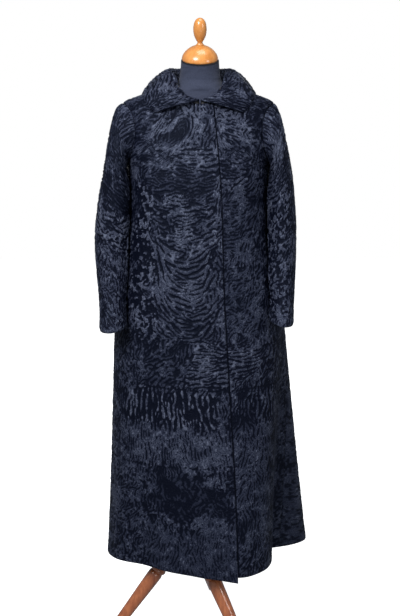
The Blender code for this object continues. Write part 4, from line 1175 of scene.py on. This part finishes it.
def fur_finish():
    """Black hair with a painted blue highlight on the curls' crests and painted shade in the
    troughs between them.
    """
    fur = Finish("broadtail_fur")
    curl, painted_crest, tone = (fur.attribute(name) for name in ("curl", "painted_crest", "tone"))
    tufts = fur.noise(fur.flat((300, 300, 1)), 3.0, 0.6)
    hairs = fur.noise(fur.flat((1900, 800, 1)), 3.0)
    loops = fur.noise(fur.flat((150, 150, 1)), 2.0, 0.5, 1.2)
    # Thin painted glint lines where the loops cross their middle, on raised curl only.
    line = fur.math("ABSOLUTE", fur.math("SUBTRACT", loops, 0.5))
    line = fur.times(fur.range(line, 0.0, 0.035, 1.0, 0.0), curl)
    # Raised curl lighter, troughs darker: painted shade of the curls' relief, broken up by random
    # tufts.
    ragged = fur.math("ADD", curl, fur.range(tufts, 0.3, 0.7, -0.2, 0.2))
    curl_shade = fur.range(ragged, 0.34, 0.66, 0.0, 1.0)
    light = fur.times(curl_shade, fur.range(tone, 0.0, 1.0, 0.17, 0.56))
    light = fur.times(light, fur.range(tufts, 0.32, 0.68, 0.6, 1.3))
    # Painted highlight on the crests and glint lines, scaled by the hair's tone.
    painted_highlight = fur.math("ADD", fur.range(painted_crest, 0.15, 0.75, 0.0, 1.0), line)
    painted_highlight = fur.times(painted_highlight, fur.range(tone, 0.0, 1.0, 0.10, 0.70))
    painted_highlight = fur.times(painted_highlight, fur.range(hairs, 0.3, 0.7, 0.6, 1.3))
    light = fur.math("ADD", light, painted_highlight)
    # The ramp runs from painted shade in the troughs, through the hair's own dark blue, to a
    # painted highlight.
    trough_shade, hair, painted_gleam = (0.0014, 0.0022, 0.0075), (0.0162, 0.0198, 0.0375), (0.096, 0.11, 0.16)
    colour = fur.ramp(light, (0.0, trough_shade), (0.40, hair), (1.0, painted_gleam))
    shaped = fur.bump(loops, 0.0022, 0.8)
    shaped = fur.bump(tufts, 0.0014, 0.8, Normal=shaped)
    shaped = fur.bump(hairs, 0.0004, 0.5, Normal=shaped)
    return fur.done(
        Base_Color=colour,
        Roughness=fur.range(light, 0.0, 0.9, 0.58, 0.32),
        Specular_IOR_Level=0.11,
        Specular_Tint=(0.68, 0.80, 1.0, 1),
        Normal=shaped,
    )


def lining_finish():
    lining = Finish("coat_lining")
    weave = lining.noise(lining.flat((1600, 350, 1)), 2.0)
    dark, light = (0.010, 0.010, 0.013), (0.020, 0.020, 0.026)
    return lining.done(
        Base_Color=lining.ramp(weave, (0.3, dark), (0.7, light)),
        Roughness=0.45,
        Sheen_Weight=0.1,
        Normal=lining.bump(weave, 0.0002, 0.4),
    )


def jersey_finish():
    """Fine ribs with fluff and soft creases, and a painted shadow just under the cap."""
    jersey = Finish("form_jersey")
    place = jersey.solid((1, 1, 1))
    bands = {"wave_type": "BANDS", "bands_direction": "X"}
    looks = {"Scale": 190.0, "Distortion": 1.6, "Detail": 2.0, "Detail_Scale": 3.0}
    ribs = jersey.node("ShaderNodeTexWave", bands, Vector=place, **looks).outputs["Fac"]
    fluff = jersey.noise(jersey.solid((420, 420, 420)), 3.0)
    knit = jersey.math("ADD", jersey.times(ribs, 0.5), fluff)
    top = NECK[-1]
    dot = {"operation": "DOT_PRODUCT"}
    up_the_neck = (0, -top.slope, 1)
    height = jersey.node("ShaderNodeVectorMath", dot, i0=place, i1=up_the_neck).outputs["Value"]
    rim = top.z - top.slope * (top.middle + AXIS[1])
    # Painted shadow: the knit darkens in a band just under the cap's rim.
    shaded = jersey.range(height, rim - 0.005, rim - 0.0015, 1.0, 0.04)
    creases = jersey.noise(jersey.solid((14, 10, 48)), 2.0, 0.5, 0.9)
    knitted = jersey.times(jersey.range(knit, 0.25, 0.95, 0.22, 1.0), shaded)
    dark, light = (0.002, 0.002, 0.004), (0.042, 0.051, 0.087)
    return jersey.done(
        Base_Color=jersey.ramp(knitted, (0.0, dark), (1.0, light)),
        Roughness=0.85,
        Specular_IOR_Level=0.18,
        Sheen_Weight=0.08,
        Normal=jersey.bump(knit, 0.0005, 0.5, Normal=jersey.bump(creases, 0.010, 0.4)),
    )


def wood_finish(name, dark, light, across, roughness, coat):
    """Turned wood: long grain up the piece, with fine pores; across is how many bands."""
    wood = Finish(name)
    grain = wood.noise(wood.solid((across, across, across * 0.09)), 4.0, 0.6)
    pores = wood.noise(wood.solid((across * 9, across * 9, across * 0.7)), 2.0)
    figure = wood.math("ADD", grain, wood.times(pores, 0.35))
    return wood.done(
        Base_Color=wood.ramp(figure, (0.45, dark), (0.90, light)),
        Roughness=wood.range(pores, 0.2, 0.8, roughness * 0.85, roughness * 1.15),
        Coat_Weight=coat,
        Coat_Roughness=0.22,
        Normal=wood.bump(figure, 0.0002, 0.25),
    )


FUR = fur_finish()
LINING = lining_finish()
JERSEY = jersey_finish()
HONEY = wood_finish("honey_wood", (0.560, 0.195, 0.034), (0.740, 0.320, 0.085), 60, 0.30, 0.6)
STAIN = wood_finish("stained_wood", (0.270, 0.072, 0.028), (0.540, 0.180, 0.070), 90, 0.24, 0.9)


# ---------------------------------------------------------------- the whole
CAMERA_AWAY = 2.7
CAMERA_Z = 1.5
CAMERA_DOWN = 11.5  # degrees below level
LENS, SENSOR = 58.44, 36  # mm
FLOOR_SIZE = 14
SKY_LIGHT, SKY_POWER = (0.86, 0.92, 1.0, 1), 0.26
WHITE = (1, 1, 1, 1)

# A light's name, place, aim, size and power.
LIGHTS = (
    ("key", (-1.3, -2.5, 2.9), (0, 0, 1.2), (0.9, 1.1), 110),
    ("fill", (2.2, -2.0, 1.7), (0, 0, 0.8), (0.5, 1.0), 17),
    ("top", (0.2, -0.6, 3.4), (0, 0, 1.2), (1.2, 0.8), 17),
    ("low", (0.6, -2.4, 0.35), (0, 0, 1.0), (1.0, 0.4), 4),
    ("behind", (0.3, 3.4, 1.5), (0, 0, 1.0), (1.6, 1.6), 16),
)


def enter(piece, node):
    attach(piece, "root")
    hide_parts(node)


def enter_fur(piece, node):
    """A piece of the coat, attached to the root in place of its CAD node."""
    enter(piece, node)


def centre(z):
    """The back's halves meet at the centre line at every height."""
    return 0.0


def build_coat():
    edge_x = FRONT_EDGE[-1].x
    front_right = add_panel(
        "fur_front_right", False, True, FRONT_RIGHT_PELTS, SEED, 10,
        lambda z: -upper_edge(z), -edge_x, drop=CORNER_DROP, last=FREE_EDGE, lift=overlap_lift,
    )
    front_left = add_panel(
        "fur_front_left", True, True, FRONT_LEFT_PELTS, SEED + 1, 9,
        under_edge, edge_x - OVERLAP, quiet=under_the_lap,
    )
    back_left = add_panel("fur_back_left", True, False, BACK_PELTS, SEED + 2, 12, centre, 0.0)
    back_right = add_panel("fur_back_right", False, False, BACK_PELTS, SEED + 3, 12, centre, 0.0)
    right_cloth, left_cloth = (RIGHT_SLEEVE_PELTS, SEED + 4), (LEFT_SLEEVE_PELTS, SEED + 5)
    sleeve_right = add_sleeve("fur_sleeve_right", RIGHT_SLEEVE, False, *right_cloth)
    sleeve_left = add_sleeve("fur_sleeve_left", LEFT_SLEEVE, True, *left_cloth)
    collar = add_collar()
    enter_fur(front_right, "front_right")
    enter_fur(front_left, "front_left")
    enter_fur(back_left, "back")
    enter_fur(back_right, "back")
    enter_fur(sleeve_right, "sleeve_right")
    enter_fur(sleeve_left, "sleeve_left")
    enter_fur(collar, "collar")


def build_form():
    form, top = add_form(), NECK[-1]
    enter(form, "form")
    base = Matrix.Translation((0, top.middle, top.z))
    base = base @ Matrix.Rotation(math.atan(top.slope), 4, "X")
    crown = base @ Matrix.Translation((0, 0, CAP_PROFILE[0].height))
    aside = Matrix.Translation((STAND_X, 0, 0))
    fork = Matrix.Translation((STAND_X, 0, FORK_Z))
    below = [Turned(ring.radius, -ring.height) for ring in LEG_PROFILE]
    enter(turned_piece("wood_cap", CAP_PROFILE, base, HONEY), "neck_cap")
    enter(turned_piece("wood_finial", FINIAL_PROFILE, crown, HONEY), "finial")
    enter(turned_piece("wood_hub", HUB_PROFILE, aside, STAIN), "hub")
    enter(turned_piece("wood_pole", POLE_PROFILE, aside, STAIN), "pole")
    for number, turn in enumerate(LEG_TURNS, start=1):
        placed = fork @ Matrix.Rotation(math.radians(turn), 4, "Z")
        placed = placed @ Matrix.Rotation(-SPLAY, 4, "X")
        leg = turned_piece(f"wood_leg_{number}", below, placed, STAIN)
        cut_at_floor(leg)
        enter(leg, f"leg_{number}")


def cut_at_floor(leg):
    bpy.ops.object.select_all(action="DESELECT")
    leg.select_set(True)
    bpy.context.view_layer.objects.active = leg
    bpy.ops.object.mode_set(mode="EDIT")
    bpy.ops.mesh.select_all(action="SELECT")
    bpy.ops.mesh.bisect(plane_co=(0, 0, 0), plane_no=(0, 0, 1), use_fill=True, clear_inner=True)
    bpy.ops.object.mode_set(mode="OBJECT")


def add_light(name, place, aim, size, power):
    light = bpy.data.lights.new(name, "AREA")
    light.shape = "RECTANGLE"
    light.size, light.size_y = size
    light.energy = power
    lamp = bpy.data.objects.new(name, light)
    lamp.location = place
    lamp.rotation_euler = (Vector(place) - Vector(aim)).to_track_quat("Z", "Y").to_euler()
    bpy.context.scene.collection.objects.link(lamp)


def build_studio():
    """A pale floor that shades off into white, and soft lights."""
    bpy.ops.object.select_all(action="DESELECT")
    bpy.ops.mesh.primitive_plane_add(size=FLOOR_SIZE, location=(0, 0, 0))
    floor = bpy.context.active_object
    floor.name = "studio_floor"
    pale = Finish("studio_floor").done(
        Base_Color=(0.9, 0.9, 0.9, 1),
        Roughness=0.9,
        Specular_IOR_Level=0.0,
        Emission_Color=WHITE,
        Emission_Strength=0.95,
    )
    floor.data.materials.append(pale)
    floor.visible_diffuse = floor.visible_glossy = False
    world = bpy.data.worlds.new("studio")
    bpy.context.scene.world = world
    world.use_nodes = True
    tree = world.node_tree
    dim = tree.nodes["Background"]
    dim.inputs["Color"].default_value = SKY_LIGHT
    dim.inputs["Strength"].default_value = SKY_POWER
    white = tree.nodes.new("ShaderNodeBackground")
    white.inputs["Color"].default_value = WHITE
    seen = tree.nodes.new("ShaderNodeLightPath")
    both = tree.nodes.new("ShaderNodeMixShader")
    tree.links.new(seen.outputs["Is Camera Ray"], both.inputs[0])
    tree.links.new(dim.outputs[0], both.inputs[1])
    tree.links.new(white.outputs[0], both.inputs[2])
    tree.links.new(both.outputs[0], tree.nodes["World Output"].inputs["Surface"])
    for light in LIGHTS:
        add_light(*light)


def build_camera():
    lens = bpy.data.cameras.new("camera")
    lens.lens = LENS
    lens.sensor_width = SENSOR
    camera = bpy.data.objects.new("camera", lens)
    camera.location = (AXIS[0], AXIS[1] - CAMERA_AWAY, CAMERA_Z)
    camera.rotation_euler = (math.radians(90 - CAMERA_DOWN), 0, 0)
    bpy.context.scene.collection.objects.link(camera)
    bpy.context.scene.camera = camera
    bpy.context.scene.view_settings.view_transform = "Standard"


build_coat()
build_form()
build_studio()
build_camera()
